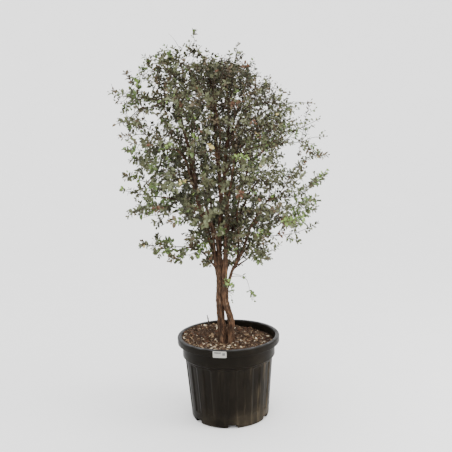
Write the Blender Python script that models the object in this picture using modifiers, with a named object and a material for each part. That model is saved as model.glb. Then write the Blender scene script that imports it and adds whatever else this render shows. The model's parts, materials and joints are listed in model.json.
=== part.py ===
"""A small-leaved evergreen shrub with two stems, in its black nursery pot.

Metres, +Z up. The origin is the middle of the pot's flat underside and the front is -Y.
Azimuths run from +X round to +Y, so the front is 270 degrees.
"""

import math
import random
from collections import namedtuple

import bmesh
import bpy
from mathutils import Matrix, Vector, noise
from mathutils.geometry import intersect_point_line

NAME = "potted_multi_stem_shrub"
GAP = 0.0003                  # left between neighbours that touch
CUT_GAP = 1.2 * GAP           # how far a cutter stands proud, so that its facets leave GAP too
WELD = 0.00001                # points closer than this are one
SHARP_ANGLE = 35.0

# Pot: a turned shell with a hanging lip, a collar and pressed flutes
POT_HEIGHT = 0.407
LIP_RADIUS = 0.250
LIP_DROP = 0.032
LIP_WIDTH = 0.021
LIP_ROUND = 0.0045
SKIRT = 0.0040                # thickness of the hanging lip
WALL = 0.0035
COLLAR_RADIUS = 0.2266
COLLAR_FOOT = 0.310
FLUTED_RADIUS = 0.2160        # the wall just under the collar
BASE_RADIUS = 0.1900
BASE_ROUND = 0.012
BASE_TUCK = 0.0048            # how far the flat underside stops short of the wall
FLOOR = 0.021
STEPS = 64                    # round the pot, four to each flute
FLUTE_DEPTH = 0.0045
FLUTE_TOP = 0.298
FLUTE_FOOT = 0.056
FLUTE_EASE = 0.008            # height over which a flute fades in
FLUTE_AZIMUTH = 285.0         # middle of the flute beside the front
NOTCHES = 6
NOTCH_AZIMUTH = 273.0
NOTCH_WIDTH = 0.041
NOTCH_HEIGHT = 0.015
NOTCH_DEPTH = 0.038

# Label on the lip
LABEL_SIZE = (0.064, 0.035)
LABEL_THICKNESS = 0.0008
LABEL_AZIMUTH = 260.2
LABEL_TOP = 0.4050
LABEL_COLUMNS = 8

# Potting mix: level round the stems, heaped against the wall on the left
SOIL_LEVEL = 0.366
SOIL_HEAP = 0.015
SOIL_TILT = 0.013
SOIL_HIGH_AZIMUTH = 195.0
SOIL_LEVEL_RADIUS = 0.070
SOIL_RINGS = 3                # between the level middle and the wall
SOIL_RING_SPACING = 0.040
SOIL_SHOULDER = 0.004         # above the collar's foot, where the mix follows the wall's step
SOIL_STEPS = 32

# Stems: points on each centreline, then the thickness at the foot and at the top
Stem = namedtuple("Stem", "name points foot top sides")
STEMS = (
    Stem("stem_left", ((-0.029, 0.003, SOIL_LEVEL), (-0.032, 0.004, 0.450), (-0.036, 0.006, 0.560),
                       (-0.034, 0.006, 0.650), (-0.031, 0.004, 0.735)), 0.0180, 0.0160, 2),
    Stem("stem_right", ((0.012, -0.004, SOIL_LEVEL), (0.014, -0.006, 0.470), (0.006, -0.011, 0.545),
                        (-0.008, -0.015, 0.610), (-0.010, -0.016, 0.670), (-0.007, -0.016, 0.745)),
         0.0152, 0.0122, 2),
)
FLARE = 0.26                  # a stem's foot is this much wider than the stem
FLARE_HEIGHT = 0.028
STEM_RINGS = 10

# Foliage masses: azimuth and reach of the middle, its height, then half sizes round, out and
# up, and the azimuth, reach and height of its furthest spray
Mass = namedtuple("Mass", "name azimuth reach height round out up spray")
MASSES = (
    Mass("mass_low_left", 186, 0.245, 0.845, 0.13, 0.145, 0.095, (184, 0.400, 0.872)),
    Mass("mass_low_right", 354, 0.215, 0.868, 0.12, 0.130, 0.085, (1, 0.440, 0.940)),
    Mass("mass_low_back", 95, 0.250, 0.930, 0.17, 0.130, 0.110, (88, 0.405, 0.880)),
    Mass("mass_second_left", 178, 0.310, 1.075, 0.20, 0.150, 0.130, (179, 0.494, 1.142)),
    Mass("mass_second_front_left", 246, 0.285, 1.070, 0.18, 0.130, 0.125, (240, 0.425, 1.020)),
    Mass("mass_second_right", 338, 0.290, 1.060, 0.19, 0.145, 0.130, (350, 0.440, 1.130)),
    Mass("mass_second_back_right", 42, 0.290, 1.130, 0.19, 0.135, 0.130, (36, 0.440, 1.090)),
    Mass("mass_second_back_left", 112, 0.300, 1.150, 0.20, 0.130, 0.130, (118, 0.435, 1.110)),
    Mass("mass_third_front_left", 214, 0.320, 1.310, 0.18, 0.140, 0.130, (205, 0.480, 1.335)),
    Mass("mass_third_front", 284, 0.285, 1.290, 0.17, 0.130, 0.135, (280, 0.430, 1.230)),
    Mass("mass_third_right", 356, 0.300, 1.310, 0.18, 0.150, 0.135, (3, 0.487, 1.375)),
    Mass("mass_third_back", 70, 0.310, 1.360, 0.19, 0.130, 0.130, (66, 0.455, 1.320)),
    Mass("mass_third_back_left", 148, 0.320, 1.330, 0.18, 0.145, 0.135, (150, 0.470, 1.290)),
    Mass("mass_fourth_left", 181, 0.300, 1.540, 0.18, 0.160, 0.130, (180, 0.513, 1.575)),
    Mass("mass_fourth_front", 258, 0.225, 1.515, 0.18, 0.150, 0.125, (262, 0.395, 1.540)),
    Mass("mass_fourth_right", 338, 0.215, 1.500, 0.16, 0.140, 0.120, (352, 0.415, 1.540)),
    Mass("mass_fourth_back_right", 48, 0.225, 1.530, 0.17, 0.130, 0.120, (52, 0.375, 1.500)),
    Mass("mass_fourth_back_left", 115, 0.240, 1.550, 0.18, 0.135, 0.130, (120, 0.400, 1.580)),
    Mass("mass_top_left", 172, 0.150, 1.725, 0.12, 0.125, 0.085, (185, 0.110, 1.862)),
    Mass("mass_top", 350, 0.045, 1.665, 0.14, 0.150, 0.085, (330, 0.100, 1.765)),
)
HALF_GAP = 0.011              # each mass keeps this far from the plane between it and the next
LIMB_CLEAR = 0.016            # and this far from a limb that passes it
LUMPS = 0.24                  # unevenness of a mass
LUMP_PITCH = 1.9
LUMP_SHIFT = 7.0              # so that two masses never have the same lumps
LOBES = 5                     # smaller sprays that stand out of each mass
LOBE_REACH = 0.22
LOBE_NARROWNESS = 14
LOBE_SPREAD = 1.3             # how far round a mass its lobes stand
LOBE_RISE = (-0.7, 0.8)       # how far down and up they point
SPRAY_NARROWNESS = 13
PROBE_STEP = 0.006            # between the places where a mass is tested for a passing limb
LEAST_RADIUS = 0.020
MASS_DETAIL = 3
MASS_KEEP = 0.62              # share of a mass's faces that is kept

# Boughs: what each grows from and at what height, where it goes, how far from upright it
# starts and ends, and its thickness at both ends
Bough = namedtuple("Bough", "name parent start goal lean_out lean_in foot tip sides")
FORK = Vector((0.050, -0.018, 0.768))
BOUGHS = (
    Bough("bough_centre", "stem_left", 0.733, "mass_top_left", 1, 14, 0.0118, 0.0055, 2),
    Bough("bough_right_tall", "stem_right", 0.743, "mass_top", 2, -4, 0.0118, 0.0055, 2),
    Bough("bough_left_tall", "stem_left", 0.690, "mass_fourth_left", 12, 8, 0.0125, 0.0055, 2),
    Bough("bough_left_low", "stem_left", 0.655, "mass_second_left", 12, 84, 0.0080, 0.0045, 1),
    Bough("limb_right", "stem_right", 0.590, "fork", 4, 42, 0.0078, 0.0068, 1),
    Bough("bough_low_left", "stem_left", 0.715, "mass_low_left", 50, 92, 0.0055, 0.0035, 1),
    Bough("bough_front", "stem_right", 0.715, "mass_third_front", 12, 30, 0.0066, 0.0040, 1),
    Bough("bough_back", "stem_left", 0.672, "mass_second_back_left", 26, 48, 0.0085, 0.0045, 1),
    Bough("bough_right", "limb_right", 0.762, "mass_second_right", 37, 46, 0.0064, 0.0040, 1),
    Bough("bough_low_right", "limb_right", 0.735, "mass_low_right", 44, 66, 0.0048, 0.0032, 1),
    Bough("bough_right_upright", "limb_right", 0.766, "mass_third_right", 12, 62, 0.0055, 0.0036, 1),
    Bough("bough_low_back", "bough_back", 0.780, "mass_low_back", 52, 72, 0.0050, 0.0034, 1),
    Bough("bough_front_left", "bough_centre", 0.800, "mass_second_front_left", 34, 62, 0.0062, 0.0040, 1),
    Bough("bough_back_right", "bough_right_tall", 0.810, "mass_second_back_right",
          34, 58, 0.0064, 0.0040, 1),
    Bough("bough_upper_front_left", "bough_left_tall", 0.990, "mass_third_front_left",
          34, 60, 0.0058, 0.0036, 1),
    Bough("bough_upper_back_left", "bough_left_tall", 1.080, "mass_third_back_left",
          30, 62, 0.0058, 0.0036, 1),
    Bough("bough_upper_back", "bough_right_tall", 0.960, "mass_third_back", 26, 56, 0.0062, 0.0036, 1),
    Bough("bough_top_front", "bough_centre", 1.130, "mass_fourth_front", 22, 48, 0.0058, 0.0036, 1),
    Bough("bough_top_right", "bough_right_tall", 1.180, "mass_fourth_right", 24, 46, 0.0058, 0.0036, 1),
    Bough("bough_top_back_right", "bough_right_tall", 1.250, "mass_fourth_back_right",
          24, 50, 0.0052, 0.0034, 1),
    Bough("bough_top_back_left", "bough_centre", 1.210, "mass_fourth_back_left", 24, 50, 0.0054, 0.0034, 1),
)
HANDLE = 0.40                 # length of a bough's end handles, as a share of its span
ENTRY = 0.6                   # a bough aims this share of a mass's depth short of its middle
WANDER = 0.012                # how far a limb strays from a clean curve
WANDER_SPAN = 0.4             # a limb shorter than this strays less
WANDER_TURN = (7, 9)          # radians of sway along a limb, sideways and outwards
RING_SPACING = 0.075
LIMB_APART = 0.004            # kept between limbs that pass each other
STEER_ROUNDS = 12

COLOURS = {                   # base colour, roughness
    "pot": ((0.018, 0.017, 0.015), 0.55),
    "label": ((0.75, 0.75, 0.73), 0.60),
    "soil": ((0.085, 0.050, 0.032), 0.95),
    "stem": ((0.150, 0.082, 0.050), 0.85),
    "bough": ((0.110, 0.060, 0.042), 0.85),
    "mass": ((0.075, 0.095, 0.050), 0.70),
}


def clear_scene():
    for ob in list(bpy.data.objects):
        bpy.data.objects.remove(ob, do_unlink=True)


def new_collection(name):
    collection = bpy.data.collections.new(name)
    bpy.context.scene.collection.children.link(collection)
    return collection


def material(name, kind):
    colour, roughness = COLOURS[kind]
    mat = bpy.data.materials.new(name)
    mat.use_nodes = True
    shader = mat.node_tree.nodes["Principled BSDF"]
    shader.inputs["Base Color"].default_value = (*colour, 1.0)
    shader.inputs["Roughness"].default_value = roughness
    shader.inputs["Metallic"].default_value = 0.0
    mat.diffuse_color = (*colour, 1.0)
    return mat


def add_object(name, mesh, collection, kind=None):
    ob = bpy.data.objects.new(name, mesh)
    collection.objects.link(ob)
    if kind:
        mesh.materials.append(material(name, kind))
        mesh.shade_smooth()
        mesh.set_sharp_from_angle(angle=math.radians(SHARP_ANGLE))
    return ob


def hide_cutter(ob):
    ob.hide_render = True
    ob.display_type = "WIRE"


def cut(ob, cutter, solver="EXACT"):
    boolean = ob.modifiers.new("cut_by_" + cutter.name, "BOOLEAN")
    boolean.operation = "DIFFERENCE"
    boolean.solver = solver
    boolean.object = cutter


def evaluated_mesh(ob):
    bpy.context.view_layer.update()
    depsgraph = bpy.context.evaluated_depsgraph_get()
    mesh = bpy.data.meshes.new_from_object(ob.evaluated_get(depsgraph))
    mesh.transform(ob.matrix_world)
    return mesh


def polar(azimuth, radius, height):
    turn = math.radians(azimuth)
    return Vector((radius * math.cos(turn), radius * math.sin(turn), height))


def turned(name, profile, steps):
    """A profile of (radius, height) points, inside first and outside last, turned about Z."""
    mesh = bpy.data.meshes.new(name)
    points = [(radius, 0.0, height) for radius, height in profile]
    mesh.from_pydata(points, [(i, i + 1) for i in range(len(points) - 1)], [])
    ob = bpy.data.objects.new(name + "_profile", mesh)
    bpy.context.scene.collection.objects.link(ob)
    screw = ob.modifiers.new("turn", "SCREW")
    screw.steps = screw.render_steps = steps
    screw.use_merge_vertices = True
    screw.merge_threshold = 0.0001
    screw.use_normal_calculate = False
    result = evaluated_mesh(ob)
    bpy.data.objects.remove(ob, do_unlink=True)
    result.name = name
    return result


# ---------------------------------------------------------------- pot, label and potting mix

def wall_radius(height):
    """Outer radius of the tapered wall below the collar."""
    share = height / COLLAR_FOOT
    return BASE_RADIUS + (FLUTED_RADIUS - BASE_RADIUS) * share


def inner_radius(height):
    """Inner radius of the pot, clear of the flutes that are pressed into the wall."""
    return wall_radius(height) - FLUTE_DEPTH - WALL


def pot_profile():
    collar_in = COLLAR_RADIUS - WALL
    lip_in = LIP_RADIUS - LIP_WIDTH
    lip_foot = POT_HEIGHT - LIP_DROP
    return [
        (0.0, FLOOR),
        (inner_radius(FLOOR), FLOOR),
        (inner_radius(COLLAR_FOOT), COLLAR_FOOT),
        (collar_in, COLLAR_FOOT + WALL),
        (lip_in, POT_HEIGHT - LIP_ROUND),
        (lip_in + LIP_ROUND, POT_HEIGHT),
        (LIP_RADIUS - LIP_ROUND, POT_HEIGHT),
        (LIP_RADIUS, POT_HEIGHT - LIP_ROUND),
        (LIP_RADIUS, lip_foot),
        (LIP_RADIUS - SKIRT, lip_foot),
        (LIP_RADIUS - SKIRT, POT_HEIGHT - SKIRT),
        (lip_in + WALL, POT_HEIGHT - SKIRT),
        (COLLAR_RADIUS, lip_foot),
        (COLLAR_RADIUS, COLLAR_FOOT),
        (FLUTED_RADIUS, COLLAR_FOOT - WALL),
        (wall_radius(FLUTE_TOP), FLUTE_TOP),
        (wall_radius(FLUTE_TOP - FLUTE_EASE), FLUTE_TOP - FLUTE_EASE),
        (wall_radius(FLUTE_FOOT + FLUTE_EASE), FLUTE_FOOT + FLUTE_EASE),
        (wall_radius(FLUTE_FOOT), FLUTE_FOOT),
        (wall_radius(BASE_ROUND), BASE_ROUND),
        (BASE_RADIUS - BASE_TUCK, 0.0),
        (0.0, 0.0),
    ]


def press_flutes(mesh):
    """Push two of every four columns of the fluted wall inwards, then turn the pot to its place."""
    step = math.tau / STEPS
    pressed = (FLUTE_FOOT + 0.5 * FLUTE_EASE, FLUTE_TOP - 0.5 * FLUTE_EASE)
    turn = math.radians(FLUTE_AZIMUTH) - 0.5 * step
    for vert in mesh.vertices:
        x, y, z = vert.co
        radius = math.hypot(x, y)
        angle = math.atan2(y, x)
        outside = radius > inner_radius(z) + 0.5 * WALL
        if outside and pressed[0] < z < pressed[1] and round(angle / step) % 4 in (0, 1):
            radius -= FLUTE_DEPTH
        vert.co = (radius * math.cos(angle + turn), radius * math.sin(angle + turn), z)


def notch_cutter(collection):
    bm = bmesh.new()
    middle = BASE_RADIUS - NOTCH_DEPTH + 0.5 * (NOTCH_DEPTH + BASE_ROUND)
    for index in range(NOTCHES):
        corners = bmesh.ops.create_cube(bm, size=1.0)["verts"]
        size = Vector((NOTCH_DEPTH + BASE_ROUND, NOTCH_WIDTH, 2 * NOTCH_HEIGHT))
        bmesh.ops.scale(bm, vec=size, verts=corners)
        bmesh.ops.translate(bm, vec=(middle, 0, 0), verts=corners)
        turn = Matrix.Rotation(math.radians(NOTCH_AZIMUTH + index * 360 / NOTCHES), 3, "Z")
        bmesh.ops.rotate(bm, cent=(0, 0, 0), verts=corners, matrix=turn)
    mesh = bpy.data.meshes.new("notch_cutter")
    bm.to_mesh(mesh)
    bm.free()
    ob = add_object("notch_cutter", mesh, collection)
    hide_cutter(ob)
    return ob


def build_pot(parts, cutters):
    mesh = turned("pot", pot_profile(), STEPS)
    press_flutes(mesh)
    pot = add_object("pot", mesh, parts, "pot")
    cut(pot, notch_cutter(cutters))
    return pot


def build_label(parts):
    """A thin curved plate on the lip."""
    width, height = LABEL_SIZE
    bm = bmesh.new()
    bmesh.ops.create_grid(bm, x_segments=LABEL_COLUMNS, y_segments=1, size=0.5)
    radius = LIP_RADIUS + GAP
    for vert in bm.verts:
        turn = math.radians(LABEL_AZIMUTH) + vert.co.x * width / radius
        level = LABEL_TOP + (vert.co.y - 0.5) * height
        vert.co = (radius * math.cos(turn), radius * math.sin(turn), level)
    bmesh.ops.recalc_face_normals(bm, faces=bm.faces)
    if bm.faces[0].normal.dot(bm.faces[0].calc_center_median()) < 0:
        bmesh.ops.reverse_faces(bm, faces=bm.faces)
    mesh = bpy.data.meshes.new("label")
    bm.to_mesh(mesh)
    bm.free()
    label = add_object("label", mesh, parts, "label")
    thicken = label.modifiers.new("thickness", "SOLIDIFY")
    thicken.thickness = LABEL_THICKNESS
    thicken.offset = 1.0
    return label


def soil_height(x, y):
    radius = math.hypot(x, y)
    edge = inner_radius(COLLAR_FOOT)
    rise = min(max((radius - SOIL_LEVEL_RADIUS) / (edge - SOIL_LEVEL_RADIUS), 0.0), 1.0)
    rise = rise * rise * (3 - 2 * rise)
    facing = math.cos(math.atan2(y, x) - math.radians(SOIL_HIGH_AZIMUTH))
    return SOIL_LEVEL + rise * (SOIL_HEAP + SOIL_TILT * facing)


def soil_edge_radius(height):
    """Where the mix meets the collar's inner face, which is a polygon of STEPS sides."""
    foot, top = COLLAR_FOOT + WALL, POT_HEIGHT - LIP_ROUND
    narrow, wide = COLLAR_RADIUS - WALL, LIP_RADIUS - LIP_WIDTH
    radius = narrow + (wide - narrow) * (height - foot) / (top - foot)
    return radius * math.cos(math.pi / STEPS) - GAP


def build_soil(parts):
    flat = math.cos(math.pi / STEPS)
    bottom = FLOOR + GAP
    shoulder = COLLAR_FOOT + WALL + SOIL_SHOULDER
    low = SOIL_LEVEL + SOIL_HEAP - SOIL_TILT
    profile = [(0.0, SOIL_LEVEL)]
    for ring in range(SOIL_RINGS + 1):
        profile.append((SOIL_LEVEL_RADIUS + ring * SOIL_RING_SPACING, SOIL_LEVEL))
    profile += [
        (soil_edge_radius(low), low),
        (soil_edge_radius(shoulder), shoulder),
        (inner_radius(COLLAR_FOOT) * flat - GAP, COLLAR_FOOT),
        (inner_radius(bottom) * flat - GAP, bottom),
        (0.0, bottom),
    ]
    mesh = turned("soil", profile, SOIL_STEPS)
    for vert in mesh.vertices:
        x, y, z = vert.co
        if z > shoulder + WELD:
            vert.co.z = soil_height(x, y)
        if z > SOIL_LEVEL + WELD:
            edge = soil_edge_radius(vert.co.z) / math.hypot(x, y)
            vert.co.x, vert.co.y = x * edge, y * edge
    return add_object("soil", mesh, parts, "soil")


# ---------------------------------------------------------------- limbs

def smooth_path(points, count):
    """Catmull-Rom curve through a few points."""
    ends = [points[0] * 2 - points[1], *points, points[-1] * 2 - points[-2]]
    path = []
    for index in range(count + 1):
        place = index / count * (len(points) - 1)
        k = min(int(place), len(points) - 2)
        t = place - k
        a, b, c, d = ends[k:k + 4]
        path.append(0.5 * (2 * b + (c - a) * t + (2 * a - 5 * b + 4 * c - d) * t * t
                           + (3 * b - a - 3 * c + d) * t ** 3))
    return path


def bezier_path(start, first, second, end, count):
    path = []
    for index in range(count + 1):
        t = index / count
        s = 1 - t
        path.append(start * s ** 3 + first * 3 * s * s * t + second * 3 * s * t * t + end * t ** 3)
    return path


def point_at_height(path, height):
    for a, b in zip(path, path[1:]):
        if a.z <= height <= b.z:
            return a.lerp(b, (height - a.z) / (b.z - a.z))
    return path[-1].copy()


def mass_centre(mass):
    return polar(mass.azimuth, mass.reach, mass.height)


def bough_goal(mass):
    """Where a mass's bough heads for, on the side towards the stems."""
    return polar(mass.azimuth, max(mass.reach - ENTRY * mass.out, 0.4 * mass.reach), mass.height)


def lobe(direction, middle, narrowness):
    """From 1 along a lobe's middle to nothing beside it."""
    return math.exp(narrowness * (direction.dot(middle) - 1))


def leaning(flat, lean):
    """Unit direction that leans from upright towards a horizontal direction."""
    angle = math.radians(lean)
    return flat * math.sin(angle) + Vector((0, 0, 1)) * math.cos(angle)


def bough_path(row, parent_path, goals):
    start = point_at_height(parent_path, row.start)
    goal = goals[row.goal]
    span = goal - start
    flat = Vector((span.x, span.y, 0)).normalized()
    first = start + leaning(flat, row.lean_out) * span.length * HANDLE
    second = goal - leaning(flat, row.lean_in) * span.length * HANDLE
    count = max(4, round(span.length / RING_SPACING))
    path = bezier_path(start, first, second, goal, count)
    rng = random.Random(row.name)
    phase = rng.uniform(0, math.tau), rng.uniform(0, math.tau)
    side = flat.cross(Vector((0, 0, 1)))
    for index, point in enumerate(path):
        t = index / count
        sway = WANDER * math.sin(math.pi * t) * min(1.0, span.length / WANDER_SPAN)
        point += side * sway * math.sin(phase[0] + WANDER_TURN[0] * t)
        point += flat * sway * math.sin(phase[1] + WANDER_TURN[1] * t)
    return path


def tapering(path, foot, tip):
    count = len(path) - 1
    return [foot + (tip - foot) * index / count for index in range(count + 1)]


def nearest_on(path, point):
    """The nearest point of a path, and the number of the stretch that it lies on."""
    best = None
    for k in range(len(path) - 1):
        share = intersect_point_line(point, path[k], path[k + 1])[1]
        near = path[k].lerp(path[k + 1], min(max(share, 0.0), 1.0))
        if best is None or (point - near).length < (point - best[0]).length:
            best = near, k
    return best


def steer_clear(path, radii, others):
    """Move the middle of a path away from limbs that it would run into."""
    for _ in range(STEER_ROUNDS):
        for index in range(2, len(path)):
            for other_path, other_radii in others:
                near, k = nearest_on(other_path, path[index])
                room = radii[index] + other_radii[k] + LIMB_APART
                away = path[index] - near
                if away.length < room:
                    path[index] += away.normalized() * (room - away.length)


def touches(path, radii, other_path, other_radii):
    """Whether two limbs come close enough to meet."""
    for index in range(len(path) - 1):
        for part_way in (0.0, 0.25, 0.5, 0.75, 1.0):
            point = path[index].lerp(path[index + 1], part_way)
            near, k = nearest_on(other_path, point)
            if (point - near).length < radii[index] + other_radii[k] + GAP:
                return True
    return False


def tube(name, path, radii, sides, collection, grow=0.0):
    """A closed tapering tube along a path, as a mesh object."""
    curve = bpy.data.curves.new(name, "CURVE")
    curve.dimensions = "3D"
    curve.bevel_depth = 1.0
    curve.bevel_resolution = sides
    curve.use_fill_caps = True
    spline = curve.splines.new("POLY")
    spline.points.add(len(path) - 1)
    for point, place, radius in zip(spline.points, path, radii):
        point.co = (*place, 1.0)
        point.radius = radius + grow
    guide = bpy.data.objects.new(name + "_guide", curve)
    bpy.context.scene.collection.objects.link(guide)
    mesh = evaluated_mesh(guide)
    bpy.data.objects.remove(guide, do_unlink=True)
    bm = bmesh.new()
    bm.from_mesh(mesh)
    bmesh.ops.remove_doubles(bm, verts=bm.verts, dist=WELD)
    bmesh.ops.recalc_face_normals(bm, faces=bm.faces)
    bm.to_mesh(mesh)
    bm.free()
    mesh.name = name
    return add_object(name, mesh, collection)


def keep_main_body(mesh):
    """Delete every loose scrap but the largest, and say whether that one is closed."""
    bm = bmesh.new()
    bm.from_mesh(mesh)
    left = set(bm.verts)
    bodies = []
    while left:
        body, edge = set(), [left.pop()]
        while edge:
            vert = edge.pop()
            body.add(vert)
            for link in vert.link_edges:
                other = link.other_vert(vert)
                if other in left:
                    left.discard(other)
                    edge.append(other)
        bodies.append(body)
    bodies.sort(key=len)
    for body in bodies[:-1]:
        bmesh.ops.delete(bm, geom=list(body), context="VERTS")
    bm.to_mesh(mesh)
    closed = bool(bm.faces) and all(edge.is_manifold for edge in bm.edges)
    bm.free()
    return closed


def trimmed(name, solid, cutters, parts, kind):
    """Cut a limb by one neighbour after another, and keep the main body each time."""
    for cutter in cutters:
        for solver in ("EXACT", "MANIFOLD"):
            cut(solid, cutter, solver)
            mesh = evaluated_mesh(solid)
            solid.modifiers.clear()
            if keep_main_body(mesh):
                solid.data = mesh
                break
    mesh = solid.data
    bpy.data.objects.remove(solid, do_unlink=True)
    mesh.name = name
    return add_object(name, mesh, parts, kind)


def stem_shape(row):
    points = [Vector(point) for point in row.points]
    points[0].z = SOIL_LEVEL + GAP
    path = smooth_path(points, STEM_RINGS)
    path[1].x, path[1].y = path[0].x, path[0].y
    radii = []
    for point, radius in zip(path, tapering(path, row.foot, row.top)):
        flare = FLARE * math.exp(-(point.z - SOIL_LEVEL) / FLARE_HEIGHT)
        radii.append(radius * (1 + flare))
    return path, radii


# ---------------------------------------------------------------- foliage masses

def lobe_directions(rng):
    """Directions in which a mass's smaller sprays stand out, spread over its outer side."""
    directions = []
    lowest, highest = LOBE_RISE
    for index in range(LOBES):
        across = LOBE_SPREAD * rng.uniform(-1.0, 1.0)
        rise = lowest + (highest - lowest) * (index + rng.random()) / LOBES
        directions.append(Vector((1.0, across, rise)).normalized())
    return directions


def free_radius(centre, direction, radius, planes, limbs):
    """Cut a mass's radius back to its own side of each plane, and clear of each limb."""
    for normal, distance in planes:
        facing = normal.dot(direction)
        if facing > 0:
            radius = min(radius, distance / facing)
    reach = PROBE_STEP
    while reach < radius:
        point = centre + direction * reach
        for path, radii in limbs:
            near, k = nearest_on(path, point)
            if (point - near).length < radii[k] + LIMB_CLEAR:
                return max(reach - PROBE_STEP, LEAST_RADIUS)
        reach += PROBE_STEP
    return radius


def mass_mesh(mass, limbs):
    """An uneven closed solid round the mass's middle."""
    centre = mass_centre(mass)
    out = polar(mass.azimuth, 1.0, 0.0)
    side = Vector((-out.y, out.x, 0.0))
    planes = []
    for other in MASSES:
        if other is not mass:
            apart = mass_centre(other) - centre
            mine, theirs = (m.round + m.out + m.up for m in (mass, other))
            planes.append((apart.normalized(), apart.length * mine / (mine + theirs) - HALF_GAP))
    lobes = lobe_directions(random.Random(mass.name))
    spray = polar(*mass.spray) - centre
    spray_length = spray.length
    spray.normalize()
    bm = bmesh.new()
    bmesh.ops.create_icosphere(bm, subdivisions=MASS_DETAIL, radius=1.0)
    for vert in bm.verts:
        local = vert.co.normalized()
        spread = Vector((local.x / mass.out, local.y / mass.round, local.z / mass.up)).length
        radius = 1.0 / spread
        direction = out * local.x + side * local.y + Vector((0, 0, local.z))
        radius *= 1 + LUMPS * noise.noise(local * LUMP_PITCH + centre * LUMP_SHIFT)
        radius *= 1 + LOBE_REACH * max(lobe(local, middle, LOBE_NARROWNESS) for middle in lobes)
        share = lobe(direction, spray, SPRAY_NARROWNESS)
        radius = max(radius, radius + (spray_length - radius) * share)
        radius = free_radius(centre, direction, radius, planes, limbs)
        vert.co = centre + direction * radius
    mesh = bpy.data.meshes.new(mass.name)
    bm.to_mesh(mesh)
    bm.free()
    return mesh


def build_mass(mass, limbs, parts):
    ob = add_object(mass.name, mass_mesh(mass, limbs), parts)
    thin = ob.modifiers.new("fewer_faces", "DECIMATE")
    thin.ratio = MASS_KEEP
    mesh = evaluated_mesh(ob)
    bpy.data.objects.remove(ob, do_unlink=True)
    mesh.name = mass.name
    return add_object(mass.name, mesh, parts, "mass")


def grown_copy(ob, cutters):
    """A cutter that stands GAP proud of an object."""
    mesh = ob.data.copy()
    for vert, normal in zip(mesh.vertices, [v.normal.copy() for v in mesh.vertices]):
        vert.co += normal * CUT_GAP
    mesh.materials.clear()
    cutter = add_object(ob.name + "_cutter", mesh, cutters)
    hide_cutter(cutter)
    return cutter


def build_plant(parts, cutters):
    goals = {mass.name: bough_goal(mass) for mass in MASSES}
    goals["fork"] = FORK
    paths = {}
    for row in STEMS:
        paths[row.name] = stem_shape(row)
    for row in BOUGHS:
        path = bough_path(row, paths[row.parent][0], goals)
        radii = tapering(path, row.foot, row.tip)
        steer_clear(path, radii, list(paths.values()))
        paths[row.name] = path, radii

    masses = {}
    for mass in MASSES:
        passing = [paths[row.name] for row in BOUGHS if row.goal != mass.name]
        masses[mass.name] = build_mass(mass, passing, parts)

    grown = {}
    for row in (*STEMS, *BOUGHS):
        path, radii = paths[row.name]
        trims = [cutter for name, cutter in grown.items() if touches(path, radii, *paths[name])]
        goal = getattr(row, "goal", None)
        if goal in masses:
            trims.append(grown_copy(masses[goal], cutters))
        kind = "stem" if row.name.startswith("stem") else "bough"
        solid = tube(row.name + "_blank", path, radii, row.sides, cutters)
        trimmed(row.name, solid, trims, parts, kind)
        cutter = tube(row.name + "_cutter", path, radii, row.sides, cutters, grow=CUT_GAP)
        hide_cutter(cutter)
        grown[row.name] = cutter


def main():
    clear_scene()
    parts = new_collection(NAME)
    cutters = new_collection("cutters")
    build_pot(parts, cutters)
    build_soil(parts)
    build_label(parts)
    build_plant(parts, cutters)


main()
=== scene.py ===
"""The looks of a small-leaved evergreen shrub with two stems, in its black nursery pot.

Metres, +Z up. The pot's flat underside lies on Z = 0, its middle is the origin and the front is -Y.
Azimuths run from +X round to +Y, so the front is 270 degrees.
"""

import json
import math
import random
from collections import defaultdict, namedtuple
from functools import lru_cache

import bpy
import numpy as np
from bpy.props import FloatProperty, FloatVectorProperty, IntProperty, PointerProperty
from mathutils import Matrix, Vector, noise
from mathutils.bvhtree import BVHTree
from mathutils.geometry import intersect_point_line

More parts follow.
